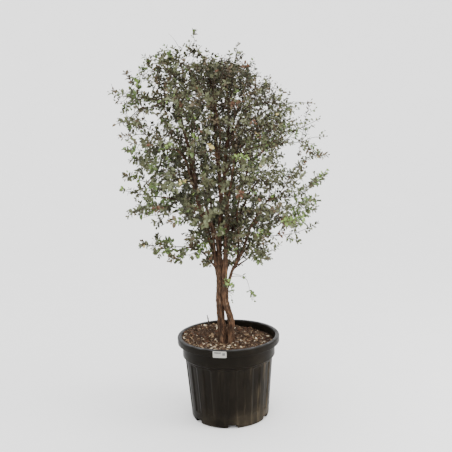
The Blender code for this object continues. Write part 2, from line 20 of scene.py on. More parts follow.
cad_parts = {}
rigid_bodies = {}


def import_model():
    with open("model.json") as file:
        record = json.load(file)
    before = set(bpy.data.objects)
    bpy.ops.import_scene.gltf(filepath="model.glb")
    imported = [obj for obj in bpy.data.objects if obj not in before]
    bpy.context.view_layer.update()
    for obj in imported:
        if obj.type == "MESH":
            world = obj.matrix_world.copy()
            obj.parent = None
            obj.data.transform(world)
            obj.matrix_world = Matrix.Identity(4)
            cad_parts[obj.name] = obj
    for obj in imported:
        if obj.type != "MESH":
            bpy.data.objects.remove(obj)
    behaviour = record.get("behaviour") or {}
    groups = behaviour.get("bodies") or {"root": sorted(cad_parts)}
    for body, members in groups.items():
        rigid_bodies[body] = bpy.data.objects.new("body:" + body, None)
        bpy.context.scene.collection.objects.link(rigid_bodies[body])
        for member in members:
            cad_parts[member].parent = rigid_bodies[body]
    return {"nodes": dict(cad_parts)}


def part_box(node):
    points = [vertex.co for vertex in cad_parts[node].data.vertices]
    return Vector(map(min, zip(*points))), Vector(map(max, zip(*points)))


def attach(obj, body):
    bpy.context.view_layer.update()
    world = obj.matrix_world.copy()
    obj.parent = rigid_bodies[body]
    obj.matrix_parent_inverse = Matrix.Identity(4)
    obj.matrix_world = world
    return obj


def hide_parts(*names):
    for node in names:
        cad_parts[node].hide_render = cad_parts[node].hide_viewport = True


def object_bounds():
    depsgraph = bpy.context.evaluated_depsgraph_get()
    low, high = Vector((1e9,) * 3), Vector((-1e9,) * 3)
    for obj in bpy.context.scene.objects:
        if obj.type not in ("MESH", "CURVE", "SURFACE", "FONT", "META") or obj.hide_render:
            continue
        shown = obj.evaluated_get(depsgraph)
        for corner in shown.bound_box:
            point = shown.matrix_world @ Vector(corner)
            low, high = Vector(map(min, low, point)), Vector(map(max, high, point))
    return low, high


bl_info = {
    "name": "Potted shrub",
    "version": (1, 0, 0),
    "blender": (4, 5, 0),
    "location": "3D View > Sidebar > Shrub",
    "description": "Models a potted evergreen shrub: pot, mix, bark, twigs and leaves",
    "category": "Object",
}

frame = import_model()
CAD_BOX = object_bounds()

UP = Vector((0, 0, 1))
MERGE = 0.00001  # points closer than this are one

# ---------------- pot and potting mix

POT_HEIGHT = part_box("pot")[1].z
LIP_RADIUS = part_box("pot")[1].x
LIP_DROP = 0.032
LIP_WIDTH = 0.021
LIP_ROUND = 0.0062
SKIRT = 0.0040  # thickness of the hanging lip
WALL = 0.0035
COLLAR_RADIUS = 0.2266
COLLAR_FOOT = 0.310
COLLAR_ROUND = 0.0030
FLUTED_RADIUS = 0.2160  # the wall just under the collar
BASE_RADIUS = 0.1900
BASE_ROUND = 0.010
FLOOR = 0.021
POT_STEPS = 320
SHARP = 40.0  # edges with a greater turn than this stay sharp
FLAT_RADIUS = 0.10  # of the flat middle of the floor and the underside
FLOOR_ROUND = 0.006
LIP_EDGE = 0.0015  # rounding of the lip's lower edge
LIP_DRAFT = (0.0004, 0.0006)  # how much narrower the lip is at its middle and its foot
FLUTES = 16
FLUTE_AZIMUTH = 285.0  # middle of the flute beside the front
FLUTE_TOP = 0.299
FLUTE_FOOT = 0.056
FLUTE_ARCH = 0.011  # how much lower a flute's corners are than the crest of its arch
FLUTE_EASE = 0.007
FLUTE_EDGE = 0.30  # share of a flute's half width over which its side slopes
FLUTE_ROOM = 0.0045  # how much further in the inside of the pot is, to clear the flutes
NOTCHES = (33, 93, 153, 216, 273, 333)
NOTCH_SIZE = (0.050, 0.044, 0.038)
NOTCH_ROUND = 0.005
NOTCH_REACH = BASE_RADIUS - 0.013

LABEL_AZIMUTH = 260.2
LABEL_TOP = 0.4050
LABEL_LIFT = 0.0006
LABEL_THICKNESS = 0.0004
LABEL_GRID = (28, 14)
LABEL_CORNER = 0.0030
LABEL_CURL = 0.0016  # how far its top right corner stands off the lip

SOIL_LEVEL = 0.366
SOIL_HEAP = 0.015
SOIL_TILT = 0.013
SOIL_HIGH_AZIMUTH = 195.0
SOIL_LEVEL_RADIUS = 0.070
SOIL_STEPS = 160
SOIL_RINGS = 44
SOIL_GAP = 0.0008  # between the mix and the wall
SOIL_LUMPS = ((55, 0.0040), (140, 0.0022))  # lumps per metre and their height
BANK = 0.014  # the mix is banked up this much more against the wall at one azimuth
BANK_AZIMUTH = 135.0

# ---------------- the plant's plan

Stem = namedtuple("Stem", "name points foot top leader")
STEMS = (
    Stem("stem_left", ((-0.029, 0.003, SOIL_LEVEL), (-0.032, 0.004, 0.450), (-0.036, 0.006, 0.560),
                       (-0.034, 0.006, 0.650), (-0.031, 0.004, 0.735)), 0.0180, 0.0160, "bough_centre"),
    Stem("stem_right", ((0.012, -0.004, SOIL_LEVEL), (0.014, -0.006, 0.470), (0.006, -0.011, 0.545),
                        (-0.008, -0.015, 0.610), (-0.010, -0.016, 0.670), (-0.007, -0.016, 0.745)),
         0.0152, 0.0122, "bough_right_tall"),
)
STEM_RINGS = 10
FLARE = 0.26  # a stem's foot is this much wider than the stem
FLARE_HEIGHT = 0.028

# Foliage: azimuth, reach and height of a mass's middle, its depth, the azimuth, reach and height
# of its furthest spray, and how full it is
Mass = namedtuple("Mass", "name azimuth reach height out spray fullness")
MASSES = (
    Mass("mass_low_left", 186, 0.245, 0.845, 0.145, (184, 0.400, 0.872), 0.47),
    Mass("mass_low_right", 354, 0.215, 0.868, 0.130, (1, 0.440, 0.940), 0.95),
    Mass("mass_low_back", 95, 0.250, 0.930, 0.130, (88, 0.405, 0.880), 0.75),
    Mass("mass_second_left", 178, 0.310, 1.075, 0.150, (179, 0.494, 1.142), 0.68),
    Mass("mass_second_front_left", 246, 0.285, 1.070, 0.130, (240, 0.425, 1.020), 0.85),
    Mass("mass_second_right", 338, 0.290, 1.060, 0.145, (350, 0.440, 1.130), 0.85),
    Mass("mass_second_back_right", 42, 0.290, 1.130, 0.135, (36, 0.440, 1.090), 0.75),
    Mass("mass_second_back_left", 112, 0.300, 1.150, 0.130, (118, 0.435, 1.110), 0.90),
    Mass("mass_third_front_left", 214, 0.320, 1.310, 0.140, (205, 0.480, 1.335), 0.90),
    Mass("mass_third_front", 284, 0.285, 1.290, 0.130, (280, 0.430, 1.230), 1.00),
    Mass("mass_third_right", 356, 0.300, 1.310, 0.150, (3, 0.487, 1.375), 0.70),
    Mass("mass_third_back", 70, 0.310, 1.360, 0.130, (66, 0.455, 1.320), 0.95),
    Mass("mass_third_back_left", 148, 0.320, 1.330, 0.145, (150, 0.470, 1.290), 0.80),
    Mass("mass_fourth_left", 181, 0.300, 1.540, 0.160, (180, 0.513, 1.575), 0.86),
    Mass("mass_fourth_front", 258, 0.225, 1.515, 0.150, (262, 0.395, 1.540), 1.20),
    Mass("mass_fourth_right", 338, 0.215, 1.500, 0.140, (352, 0.415, 1.540), 1.05),
    Mass("mass_fourth_back_right", 48, 0.225, 1.530, 0.130, (52, 0.375, 1.500), 0.95),
    Mass("mass_fourth_back_left", 115, 0.240, 1.550, 0.135, (120, 0.400, 1.580), 1.00),
    Mass("mass_top_left", 172, 0.150, 1.725, 0.125, (185, 0.110, 1.862), 1.05),
    Mass("mass_top", 350, 0.045, 1.665, 0.150, (330, 0.100, 1.765), 1.55),
)
TIERS = ("low", "second", "third", "fourth", "top")
MASS_AT = {mass.name.removeprefix("mass_"): mass for mass in MASSES}

# Boughs: what each grows from and at what height, where it goes, how far from upright it
# starts and ends, and its thickness at both ends
Bough = namedtuple("Bough", "name parent start goal lean_out lean_in foot tip")
FORK = Vector((0.050, -0.018, 0.768))
BOUGHS = (
    Bough("bough_centre", "stem_left", 0.733, "top_left", 1, 14, 0.0118, 0.0055),
    Bough("bough_right_tall", "stem_right", 0.743, "top", 2, -4, 0.0118, 0.0055),
    Bough("bough_left_tall", "stem_left", 0.690, "fourth_left", 12, 8, 0.0125, 0.0055),
    Bough("bough_left_low", "stem_left", 0.655, "second_left", 12, 84, 0.0080, 0.0045),
    Bough("limb_right", "stem_right", 0.590, "fork", 4, 42, 0.0078, 0.0068),
    Bough("bough_low_left", "stem_left", 0.715, "low_left", 50, 92, 0.0055, 0.0035),
    Bough("bough_front", "stem_right", 0.715, "third_front", 12, 30, 0.0066, 0.0040),
    Bough("bough_back", "stem_left", 0.672, "second_back_left", 26, 48, 0.0085, 0.0045),
    Bough("bough_right", "limb_right", 0.762, "second_right", 37, 46, 0.0064, 0.0040),
    Bough("bough_low_right", "limb_right", 0.735, "low_right", 44, 66, 0.0048, 0.0032),
    Bough("bough_right_upright", "limb_right", 0.766, "third_right", 12, 62, 0.0055, 0.0036),
    Bough("bough_low_back", "bough_back", 0.780, "low_back", 52, 72, 0.0050, 0.0034),
    Bough("bough_front_left", "bough_centre", 0.800, "second_front_left", 34, 62, 0.0062, 0.0040),
    Bough("bough_back_right", "bough_right_tall", 0.810, "second_back_right", 34, 58, 0.0064, 0.0040),
    Bough("bough_upper_front_left", "bough_left_tall", 0.990, "third_front_left", 34, 60, 0.0058, 0.0036),
    Bough("bough_upper_back_left", "bough_left_tall", 1.080, "third_back_left", 30, 62, 0.0058, 0.0036),
    Bough("bough_upper_back", "bough_right_tall", 0.960, "third_back", 26, 56, 0.0062, 0.0036),
    Bough("bough_top_front", "bough_centre", 1.130, "fourth_front", 22, 48, 0.0058, 0.0036),
    Bough("bough_top_right", "bough_right_tall", 1.180, "fourth_right", 24, 46, 0.0058, 0.0036),
    Bough("bough_top_back_right", "bough_right_tall", 1.250, "fourth_back_right", 24, 50, 0.0052, 0.0034),
    Bough("bough_top_back_left", "bough_centre", 1.210, "fourth_back_left", 24, 50, 0.0054, 0.0034),
)
HANDLE = 0.40  # length of a bough's end handles, as a share of its span
ENTRY = 0.6  # a bough aims this share of a mass's depth short of its middle
LEAST_ENTRY = 0.4  # or this share of the mass's reach
WANDER = 0.012
WANDER_SPAN = 0.4
WANDER_TURN = (7, 9)
RING_SPACING = 0.075
LIMB_APART = 0.004
STEER_ROUNDS = 12


def polar(azimuth, radius, height):
    turn = math.radians(azimuth)
    return Vector((radius * math.cos(turn), radius * math.sin(turn), height))


def from_mm(point):
    """A point from whole millimetres."""
    return Vector([value / 1000 for value in point])


def smooth_path(points, count):
    """Catmull-Rom curve through a few points."""
    ends = [points[0] * 2 - points[1], *points, points[-1] * 2 - points[-2]]
    path = []
    for index in range(count + 1):
        place = index / count * (len(points) - 1)
        k = min(int(place), len(points) - 2)
        t = place - k
        a, b, c, d = ends[k:k + 4]
        path.append(0.5 * (2 * b + (c - a) * t + (2 * a - 5 * b + 4 * c - d) * t * t
                           + (3 * b - a - 3 * c + d) * t ** 3))
    return path


def bezier_path(start, first, second, end, count):
    path = []
    for index in range(count + 1):
        t = index / count
        s = 1 - t
        path.append(start * s ** 3 + first * 3 * s * s * t + second * 3 * s * t * t + end * t ** 3)
    return path


def point_at_height(path, height):
    for a, b in zip(path, path[1:]):
        if a.z <= height <= b.z:
            return a.lerp(b, (height - a.z) / (b.z - a.z))
    return path[-1].copy()


def tier_of(mass):
    """The tier in a mass's name, such as mass_low_left."""
    return mass.name.split("_")[1]


def mass_centre(mass):
    return polar(mass.azimuth, mass.reach, mass.height)


def bough_goal(mass):
    """Where a mass's bough heads for, on the side towards the stems."""
    return polar(mass.azimuth, max(mass.reach - ENTRY * mass.out, LEAST_ENTRY * mass.reach), mass.height)


def leaning(flat, lean):
    """Unit direction that leans from upright towards a horizontal direction."""
    angle = math.radians(lean)
    return flat * math.sin(angle) + UP * math.cos(angle)


def heading_at(path, index):
    return (path[index + 1] - path[index - 1]).normalized()


def square_to(ahead, turn):
    """A direction square to another, turned about it."""
    side = ahead.orthogonal().normalized()
    side.rotate(Matrix.Rotation(turn, 3, ahead))
    return side


def tapering(path, foot, tip):
    count = len(path) - 1
    return [foot + (tip - foot) * index / count for index in range(count + 1)]


def nearest_on(path, point):
    """The nearest point of a path, and the number of the stretch that it lies on."""
    best = None
    for k in range(len(path) - 1):
        share = intersect_point_line(point, path[k], path[k + 1])[1]
        near = path[k].lerp(path[k + 1], min(max(share, 0.0), 1.0))
        if best is None or (point - near).length < (point - best[0]).length:
            best = near, k
    return best


def steer_clear(path, radii, others):
    """Move the middle of a path away from limbs that it would run into."""
    for _ in range(STEER_ROUNDS):
        for index in range(2, len(path)):
            for other_path, other_radii in others:
                near, k = nearest_on(other_path, path[index])
                room = radii[index] + other_radii[k] + LIMB_APART
                away = path[index] - near
                if away.length < room:
                    path[index] += away.normalized() * (room - away.length)


def stem_shape(row):
    path = smooth_path([Vector(point) for point in row.points], STEM_RINGS)
    path[1].x, path[1].y = path[0].x, path[0].y
    radii = []
    for point, radius in zip(path, tapering(path, row.foot, row.top)):
        flare = FLARE * math.exp(-(point.z - SOIL_LEVEL) / FLARE_HEIGHT)
        radii.append(radius * (1 + flare))
    return path, radii


def bough_path(row, parent_path, goals):
    start = point_at_height(parent_path, row.start)
    goal = goals[row.goal]
    span = goal - start
    flat = Vector((span.x, span.y, 0)).normalized()
    first = start + leaning(flat, row.lean_out) * span.length * HANDLE
    second = goal - leaning(flat, row.lean_in) * span.length * HANDLE
    count = max(4, round(span.length / RING_SPACING))
    path = bezier_path(start, first, second, goal, count)
    rng = random.Random(row.name)
    phase = rng.uniform(0, math.tau), rng.uniform(0, math.tau)
    side = flat.cross(UP)
    for index, point in enumerate(path):
        t = index / count
        sway = WANDER * math.sin(math.pi * t) * min(1.0, span.length / WANDER_SPAN)
        point += side * sway * math.sin(phase[0] + WANDER_TURN[0] * t)
        point += flat * sway * math.sin(phase[1] + WANDER_TURN[1] * t)
    return path


@lru_cache
def limb_plan():
    """Centreline and thickness of every stem and bough, as the frame has them."""
    goals = {name: bough_goal(mass) for name, mass in MASS_AT.items()}
    goals["fork"] = FORK
    plan = {row.name: stem_shape(row) for row in STEMS}
    for row in BOUGHS:
        path = bough_path(row, plan[row.parent][0], goals)
        radii = tapering(path, row.foot, row.tip)
        steer_clear(path, radii, list(plan.values()))
        plan[row.name] = path, radii
    return plan


# ---------------- sizes and colours to change

def colour(name, description, value):
    return FloatVectorProperty(name=name, description=description, default=value, subtype="COLOR",
                               min=0.0, max=1.0)


def length(name, description, value):
    return FloatProperty(name=name, description=description, default=value, unit="LENGTH", min=0.0,
                         precision=4)


def factor(name, description, value, least=0.0, most=1.0):
    return FloatProperty(name=name, description=description, default=value, subtype="FACTOR",
                         min=least, max=most)


def whole(name, description, value):
    return IntProperty(name=name, description=description, default=value, subtype="UNSIGNED", min=0)


def tilt(name, description, degrees):
    return FloatProperty(name=name, description=description, default=math.radians(degrees),
                         subtype="ANGLE")


def measure(name, description, value, unit="NONE"):
    return FloatProperty(name=name, description=description, default=value, unit=unit, min=0.0)


class SHRUB_PG_pot(bpy.types.PropertyGroup):
    """Sizes and colours of the pot and its label"""

    flute_depth: length("Flute depth", "How deep the flutes are pressed into the wall", 0.0045)
    flute_width: factor("Flute width", "Width of a flute, as a share of its pitch", 0.56, 0.1, 0.9)
    label_width: length("Label width", "Width of the label on the lip", 0.064)
    label_height: length("Label height", "Height of the label on the lip", 0.031)
    plastic: colour("Plastic", "Clean black plastic", (0.0058, 0.0046, 0.0031))
    # This colour also paints the sheen, a painted light that lightens the wall's right side.
    dust_and_sheen: colour("Dust", "Dried dust and water marks on the wall", (0.096, 0.076, 0.050))
    # This colour also paints a highlight: the sky's reflection painted along the lip's top.
    rim_wear_and_highlight: colour("Rim wear", "Scuffed plastic on top of the lip", (0.070, 0.070, 0.073))
    label_stock: colour("Label stock", "Paper of the label", (0.290, 0.282, 0.255))
    label_stain: colour("Label stain", "Paper where damp has yellowed it", (0.420, 0.400, 0.360))
    label_grey: colour("Label grey", "The plain bar and patch on the label", (0.035, 0.035, 0.038))


class SHRUB_PG_mix(bpy.types.PropertyGroup):
    """The potting mix and the bark chips on it"""

    chips: whole("Chips", "How many bark chips lie on the mix", 3000)
    shortest: length("Shortest chip", "Length of the smallest chips", 0.0040)
    longest: length("Longest chip", "Length of the largest chips", 0.0190)
    dark: colour("Mix", "Damp mix between the chips", (0.034, 0.0210, 0.0135))
    fallen_leaves: whole("Fallen leaves", "How many dry leaves lie on the mix", 26)


class SHRUB_PG_limbs(bpy.types.PropertyGroup):
    """Bark of the stems and boughs"""

    ridge_width: length("Ridge width", "Width of one fibre of bark", 0.0036)
    ridge_length: length("Ridge length", "How far a fibre runs along the limb", 0.040)
    ridge_depth: length("Ridge depth", "Depth of the furrows between fibres", 0.0021)
    flakes: whole("Flakes", "How many strips of bark peel off the stems", 520)
    furrow: colour("Furrow", "Bark deep in a furrow", (0.013, 0.0080, 0.0058))
    brown: colour("Brown bark", "Most of the bark", (0.074, 0.041, 0.024))
    orange: colour("Fresh bark", "Bark that peeled lately", (0.235, 0.122, 0.064))
    grey: colour("Weathered bark", "Bark that has weathered grey", (0.180, 0.132, 0.092))


class SHRUB_PG_twigs(bpy.types.PropertyGroup):
    """How the twigs branch"""

    spacing: length("Spacing", "Distance between neighbouring twig ends", 0.0445)
    thinning: factor("Thinning", "How much wider the spacing gets to the crown's sides", 0.62, 0, 2)
    clearing: factor("Clearing", "How much wider the spacing is in front of the boughs", 0.45, 0, 2)
    inset: length("Inset", "How far inside the foliage a twig ends, before its shoot", 0.024)
    tip: length("Tip radius", "Thickness of a twig's end", 0.00120)
    branching: factor("Branching", "Power that adds up the thickness of twigs at a fork", 2.30, 1.5, 4)
    shoot: length("Shoot", "Longest leafy shoot at the end of a twig", 0.085)
    straying: factor("Straying", "Share of the outer shoots that stand out of the crown", 0.12)
    spur_spacing: length("Spur spacing", "Distance between side shoots along a twig", 0.034)
    spur: length("Spur", "Longest side shoot", 0.060)
    bark: colour("Twig bark", "Bark of twigs", (0.060, 0.038, 0.027))
    young: colour("Young bark", "Bark of this year's shoots", (0.110, 0.078, 0.042))


class SHRUB_PG_leaves(bpy.types.PropertyGroup):
    """Size and colours of the leaves"""

    leaf: length("Leaf length", "Length of a full-grown leaf", 0.0250)
    width: factor("Leaf width", "Width of a leaf, as a share of its length", 0.58, 0.1)
    pair_spacing: length("Pair spacing", "Distance between pairs of leaves", 0.0110)
    dark: colour("Dark", "Old leaves inside the crown", (0.038, 0.040, 0.0210))
    olive: colour("Olive", "Most of the leaves", (0.082, 0.085, 0.043))
    sage: colour("Sage", "Greyish leaves", (0.136, 0.149, 0.080))
    bronze: colour("Bronze", "Leaves turning brown", (0.104, 0.081, 0.048))
    fresh: colour("Fresh", "Green leaves near the tips", (0.115, 0.160, 0.056))
    bright: colour("Bright", "The youngest leaves", (0.200, 0.290, 0.080))
    copper: colour("Copper", "Dead coppery leaves", (0.125, 0.063, 0.036))
    yellow: colour("Yellow", "A few pale yellow leaves", (0.500, 0.410, 0.160))


class SHRUB_PG_stage(bpy.types.PropertyGroup):
    """Camera, floor and light"""

    focal_length: measure("Focal length", "Of the camera", 55.75, "CAMERA")
    distance: length("Distance", "From the camera to the plant's axis", 3.312)
    height: length("Height", "Of the camera above the floor", 1.484)
    sideways: length("Sideways", "Of the camera from the plant's axis", 0.0036)
    pitch: tilt("Pitch", "How far the camera looks down", 9.25)
    roll: tilt("Roll", "Turn of the camera about its own axis", -1.63)
    floor: colour("Floor", "Pale floor", (0.95, 0.95, 0.95))
    sky: measure("Sky", "Strength of the even light from all round", 2.35)
    key: measure("Key light", "Power of the large light on the right", 90.0, "POWER")
    fill: measure("Fill light", "Power of the light above the camera", 36.0, "POWER")


# ---------------- finishes

class Signal:
    """A shader value that plain arithmetic can be written on."""

    def __init__(self, finish, socket):
        self.finish = finish
        self.socket = socket

    def maths(self, operation, *values):
        return self.finish.node("Math", dict(enumerate(values)), operation=operation)

    def __add__(self, other):
        return self.maths("ADD", self, other)

    def __sub__(self, other):
        return self.maths("SUBTRACT", self, other)

    def __rsub__(self, other):
        return self.maths("SUBTRACT", other, self)

    def __mul__(self, other):
        return self.maths("MULTIPLY", self, other)

    def __truediv__(self, other):
        return self.maths("DIVIDE", self, other)

    def __gt__(self, other):
        return self.maths("GREATER_THAN", self, other)

    __radd__ = __add__
    __rmul__ = __mul__

    def between(self, low, high):
        """0 below low, 1 above high and a smooth rise from one to the other."""
        return self.finish.node("MapRange", {"Value": self, "From Min": low, "From Max": high},
                                interpolation_type="SMOOTHSTEP")


class Finish:
    """A material, its main shader and the nodes that feed it."""

    def __init__(self, name, roughness, **constants):
        self.material = bpy.data.materials.new(name)
        self.material.use_nodes = True
        self.tree = self.material.node_tree
        self.shader = self.tree.nodes["Principled BSDF"]
        self.shader.inputs["Roughness"].default_value = roughness
        for socket, value in constants.items():
            self.shader.inputs[socket.replace("_", " ")].default_value = value

    def node(self, kind, inputs=None, output=0, **settings):
        """Add a node, set it up, give its inputs their values or links, and hand back an output."""
        node = self.tree.nodes.new("ShaderNode" + kind)
        for setting, value in settings.items():
            setattr(node, setting, value)
        for name, value in (inputs or {}).items():
            if isinstance(value, Signal):
                self.tree.links.new(value.socket, node.inputs[name])
            else:
                node.inputs[name].default_value = value
        return Signal(self, node.outputs[output])

    def feed(self, name, signal):
        self.tree.links.new(signal.socket, self.shader.inputs[name])

    def place(self):
        """Where a point is on the object."""
        return self.node("TexCoord", output="Object")

    def grain(self):
        """Where a point is round and along its limb."""
        return self.node("Attribute", output="Vector", attribute_name="grain")

    def fibres(self, grain, run, scale, detail=3.0, roughness=0.55):
        """Noise drawn out along a limb; a smaller run draws it out further."""
        return self.noise(self.stretched(grain, 1.0, 1.0, run), scale, detail, roughness)

    def parts_of(self, vector):
        split = self.node("SeparateXYZ", {"Vector": vector})
        return [Signal(self, output) for output in split.socket.node.outputs]

    def vector(self, x, y, z):
        return self.node("CombineXYZ", {"X": x, "Y": y, "Z": z})

    def stretched(self, vector, x, y, z):
        return self.node("VectorMath", {0: vector, 1: (x, y, z)}, operation="MULTIPLY")

    def noise(self, vector, scale, detail=4.0, roughness=0.55):
        return self.node("TexNoise", {"Vector": vector, "Scale": scale, "Detail": detail,
                                      "Roughness": roughness})

    def mix(self, share, first, second):
        """From the first colour to the second."""
        first, second = (c if isinstance(c, Signal) else (*c, 1.0) for c in (first, second))
        return self.node("Mix", {0: share, 6: first, 7: second}, output=2, data_type="RGBA")

    def bump(self, height, distance, strength=1.0):
        inputs = {"Height": height, "Distance": distance, "Strength": strength}
        self.feed("Normal", self.node("Bump", inputs))


def plastic(settings):
    """Black moulded plastic, dusty where rain has drawn streaks down the wall, with painted sheen that
    lightens its right side and a painted highlight along the lip.
    """
    finish = Finish("black_plastic", 0.40, Specular_IOR_Level=0.05)
    place = finish.place()
    x, y, z = finish.parts_of(place)
    radius = finish.node("VectorMath", {0: finish.vector(x, y, 0.0)}, output="Value", operation="LENGTH")
    round_wall = finish.vector(x / radius, y / radius, z * 0.45)
    streaks = finish.noise(round_wall, 9.0, 7.0, 0.62)
    fine_streaks = finish.noise(finish.stretched(round_wall, 1.0, 1.0, 0.5), 46.0, 3.0)
    cloud = finish.noise(place, 7.0, 5.0)
    # Painted light: the wall is lighter towards its right side, as if lit from the right; the streaks and
    # the film are weighted to it.
    lit_right_side = x.between(-0.06, 0.22)
    under_lip = 1 - z.between(COLLAR_FOOT - 0.010, COLLAR_FOOT + 0.004)
    # Streaks down the wall: dusty marks, and painted reflections on the flutes, strongest on the right.
    drawn = streaks.between(0.49, 0.72) * (0.10 + 0.90 * lit_right_side) * under_lip
    drawn = drawn + fine_streaks.between(0.58, 0.80) * 0.16 * under_lip
    low_dirt = (1 - z.between(0.005, 0.110)) * cloud.between(0.34, 0.70)
    # A dusty film with painted sheen, much stronger on the right side.
    film_and_sheen = cloud.between(0.30, 0.85) * (0.01 + 0.12 * lit_right_side)
    # Dusty marks together with their painted sheen.
    dust_and_sheen = drawn * 0.62 + low_dirt * 0.30 + film_and_sheen
    # Scuffs on top of the lip, and a painted highlight there: the grey-blue colour also stands in for the
    # sky's reflection.
    lip_top = z.between(POT_HEIGHT - 0.0045, POT_HEIGHT - 0.0005)
    scuffs_and_highlight = lip_top * finish.noise(place, 22.0, 5.0).between(0.25, 0.75)
    shade = finish.mix(dust_and_sheen, settings.plastic, settings.dust_and_sheen)
    finish.feed("Base Color", finish.mix(scuffs_and_highlight * 0.65, shade, settings.rim_wear_and_highlight))
    finish.feed("Roughness", 0.36 + dust_and_sheen * 0.40 + finish.noise(place, 30.0).between(0.4, 0.8) * 0.10)
    finish.bump(finish.noise(place, 260.0, 3.0), 0.0003, 0.5)
    return finish.material


def label_paper(settings):
    """Plain label stock with a grey bar and a small grey patch."""
    finish = Finish("label_paper", 0.42)
    u, v, _ = finish.parts_of(finish.node("UVMap", uv_map="UVMap"))

    def block(left, right, foot, top):
        inside = (u > left) * (1 - (u > right))
        return inside * (v > foot) * (1 - (v > top))

    place = finish.place()
    worn = finish.noise(place, 160.0, 2.0).between(0.30, 0.70)
    grey = block(0.11, 0.60, 0.64, 0.86) * (0.75 + 0.20 * worn)
    grey = grey + block(0.70, 0.90, 0.34, 0.74) * (0.70 + 0.20 * worn) + block(0.24, 0.46, 0.20, 0.27) * 0.30
    stains = finish.noise(place, 70.0).between(0.45, 0.85) * 0.35
    stained = finish.mix(stains, settings.label_stock, settings.label_stain)
    finish.feed("Base Color", finish.mix(grey, stained, settings.label_grey))
    finish.bump(finish.noise(place, 500.0, 2.0), 0.0001, 0.4)
    return finish.material


DIRT = (0.022, 0.014, 0.010)


def mulch(name, colours, roughness=0.88):
    """Bark or mix that varies from place to place, with dark dirt on it."""
    finish = Finish(name, roughness, Specular_IOR_Level=0.15)
    place = finish.place()
    share = finish.noise(place, 120.0, 3.0).between(0.30, 0.70)
    shade = finish.mix(share, *colours)
    dirt = finish.noise(place, 420.0, 4.0)
    finish.feed("Base Color", finish.mix(dirt.between(0.50, 0.75) * 0.55, shade, DIRT))
    finish.bump(dirt, 0.0008, 0.8)
    return finish.material


def bark(settings, name, warmth):
    """Fibrous bark: dark furrows, brown ridges, and patches that peeled or weathered."""
    finish = Finish(name, 0.82, Specular_IOR_Level=0.15)
    grain = finish.grain()
    fibres = finish.fibres(grain, 0.11, 330.0, 5.0, 0.65)
    ridges = finish.fibres(grain, 0.10, 120.0)
    patches = finish.fibres(grain, 0.45, 34.0, 4.0)
    weather = finish.fibres(grain, 0.30, 52.0)
    depth = fibres.between(0.30, 0.62) * 0.6 + ridges.between(0.32, 0.60) * 0.4
    brown = finish.mix(patches.between(0.56 - 0.10 * warmth, 0.74), settings.brown, settings.orange)
    aged = finish.mix(weather.between(0.54, 0.72) * 0.65, brown, settings.grey)
    plates = finish.fibres(grain, 0.36, 105.0, 4.0, 0.6)
    aged = finish.mix(plates.between(0.52, 0.68) * 0.55, aged, settings.orange)
    depth = depth * (0.35 + 0.65 * plates.between(0.36, 0.54))
    finish.feed("Base Color", finish.mix(depth, settings.furrow, aged))
    finish.feed("Roughness", 0.90 - depth * 0.18)
    finish.bump(fibres * 0.6 + ridges * 0.6, 0.0014, 0.9)
    return finish.material


def twig_bark(name, base):
    """Thin bark, mottled along the twig."""
    finish = Finish(name, 0.80, Specular_IOR_Level=0.20)
    mottle = finish.fibres(finish.grain(), 0.2, 160.0)
    darker = [0.45 * channel for channel in base]
    finish.feed("Base Color", finish.mix(mottle.between(0.35, 0.68), darker, base))
    finish.bump(mottle, 0.0004, 0.6)
    return finish.material


def leaf_skin(name, base):
    """Waxy leaf: a plain colour, a little lighter and darker from leaf to leaf."""
    finish = Finish("leaf_" + name, 0.50, Specular_IOR_Level=0.22)
    vary = finish.noise(finish.place(), 55.0, 1.0).between(0.25, 0.75)
    darker = [0.72 * channel for channel in base]
    lighter = [min(1.0, 1.22 * channel) for channel in base]
    finish.feed("Base Color", finish.mix(vary, darker, lighter))
    return finish.material


# ---------------- making pieces

def start(kind, **settings):
    """Add a primitive with nothing else selected, and hand it back."""
    bpy.ops.object.select_all(action="DESELECT")
    getattr(bpy.ops.mesh, f"primitive_{kind}_add")(**settings)
    return bpy.context.object


def select_only(ob):
    bpy.ops.object.select_all(action="DESELECT")
    bpy.context.view_layer.objects.active = ob
    ob.select_set(True)


def modify(ob, kind, **settings):
    """Add a modifier and apply it."""
    modifier = ob.modifiers.new(kind.lower(), kind)
    for setting, value in settings.items():
        setattr(modifier, setting, value)
    select_only(ob)
    bpy.ops.object.modifier_apply(modifier=modifier.name)


def settle(ob, slot, *replaced):
    """Make a piece part of the frame: what it rides on and stands for. Its slot is not used."""
    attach(ob, "root")
    if replaced:
        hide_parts(*replaced)
    return ob


def turned(name, profile, steps):
    """A surface turned about Z from (radius, height) points."""
    ob = start("plane", size=0.01)
    ob.name = ob.data.name = name
    bpy.ops.object.mode_set(mode="EDIT")
    bpy.ops.mesh.merge(type="CENTER")
    bpy.ops.transform.translate(value=(profile[0][0], 0, profile[0][1]))
    for (r1, z1), (r2, z2) in zip(profile, profile[1:]):
        bpy.ops.mesh.extrude_region_move(TRANSFORM_OT_translate={"value": (r2 - r1, 0, z2 - z1)})
    bpy.ops.mesh.select_all(action="SELECT")
    bpy.ops.mesh.spin(steps=steps, angle=math.tau, center=(0, 0, 0), axis=(0, 0, 1))
    bpy.ops.object.mode_set(mode="OBJECT")
    return ob


def face_outwards(ob):
    """Close the poles of a turned surface and turn its faces outwards."""
    select_only(ob)
    bpy.ops.object.mode_set(mode="EDIT")
    bpy.ops.mesh.select_all(action="SELECT")
    bpy.ops.mesh.remove_doubles(threshold=MERGE)
    bpy.ops.mesh.normals_make_consistent(inside=False)
    bpy.ops.object.mode_set(mode="OBJECT")


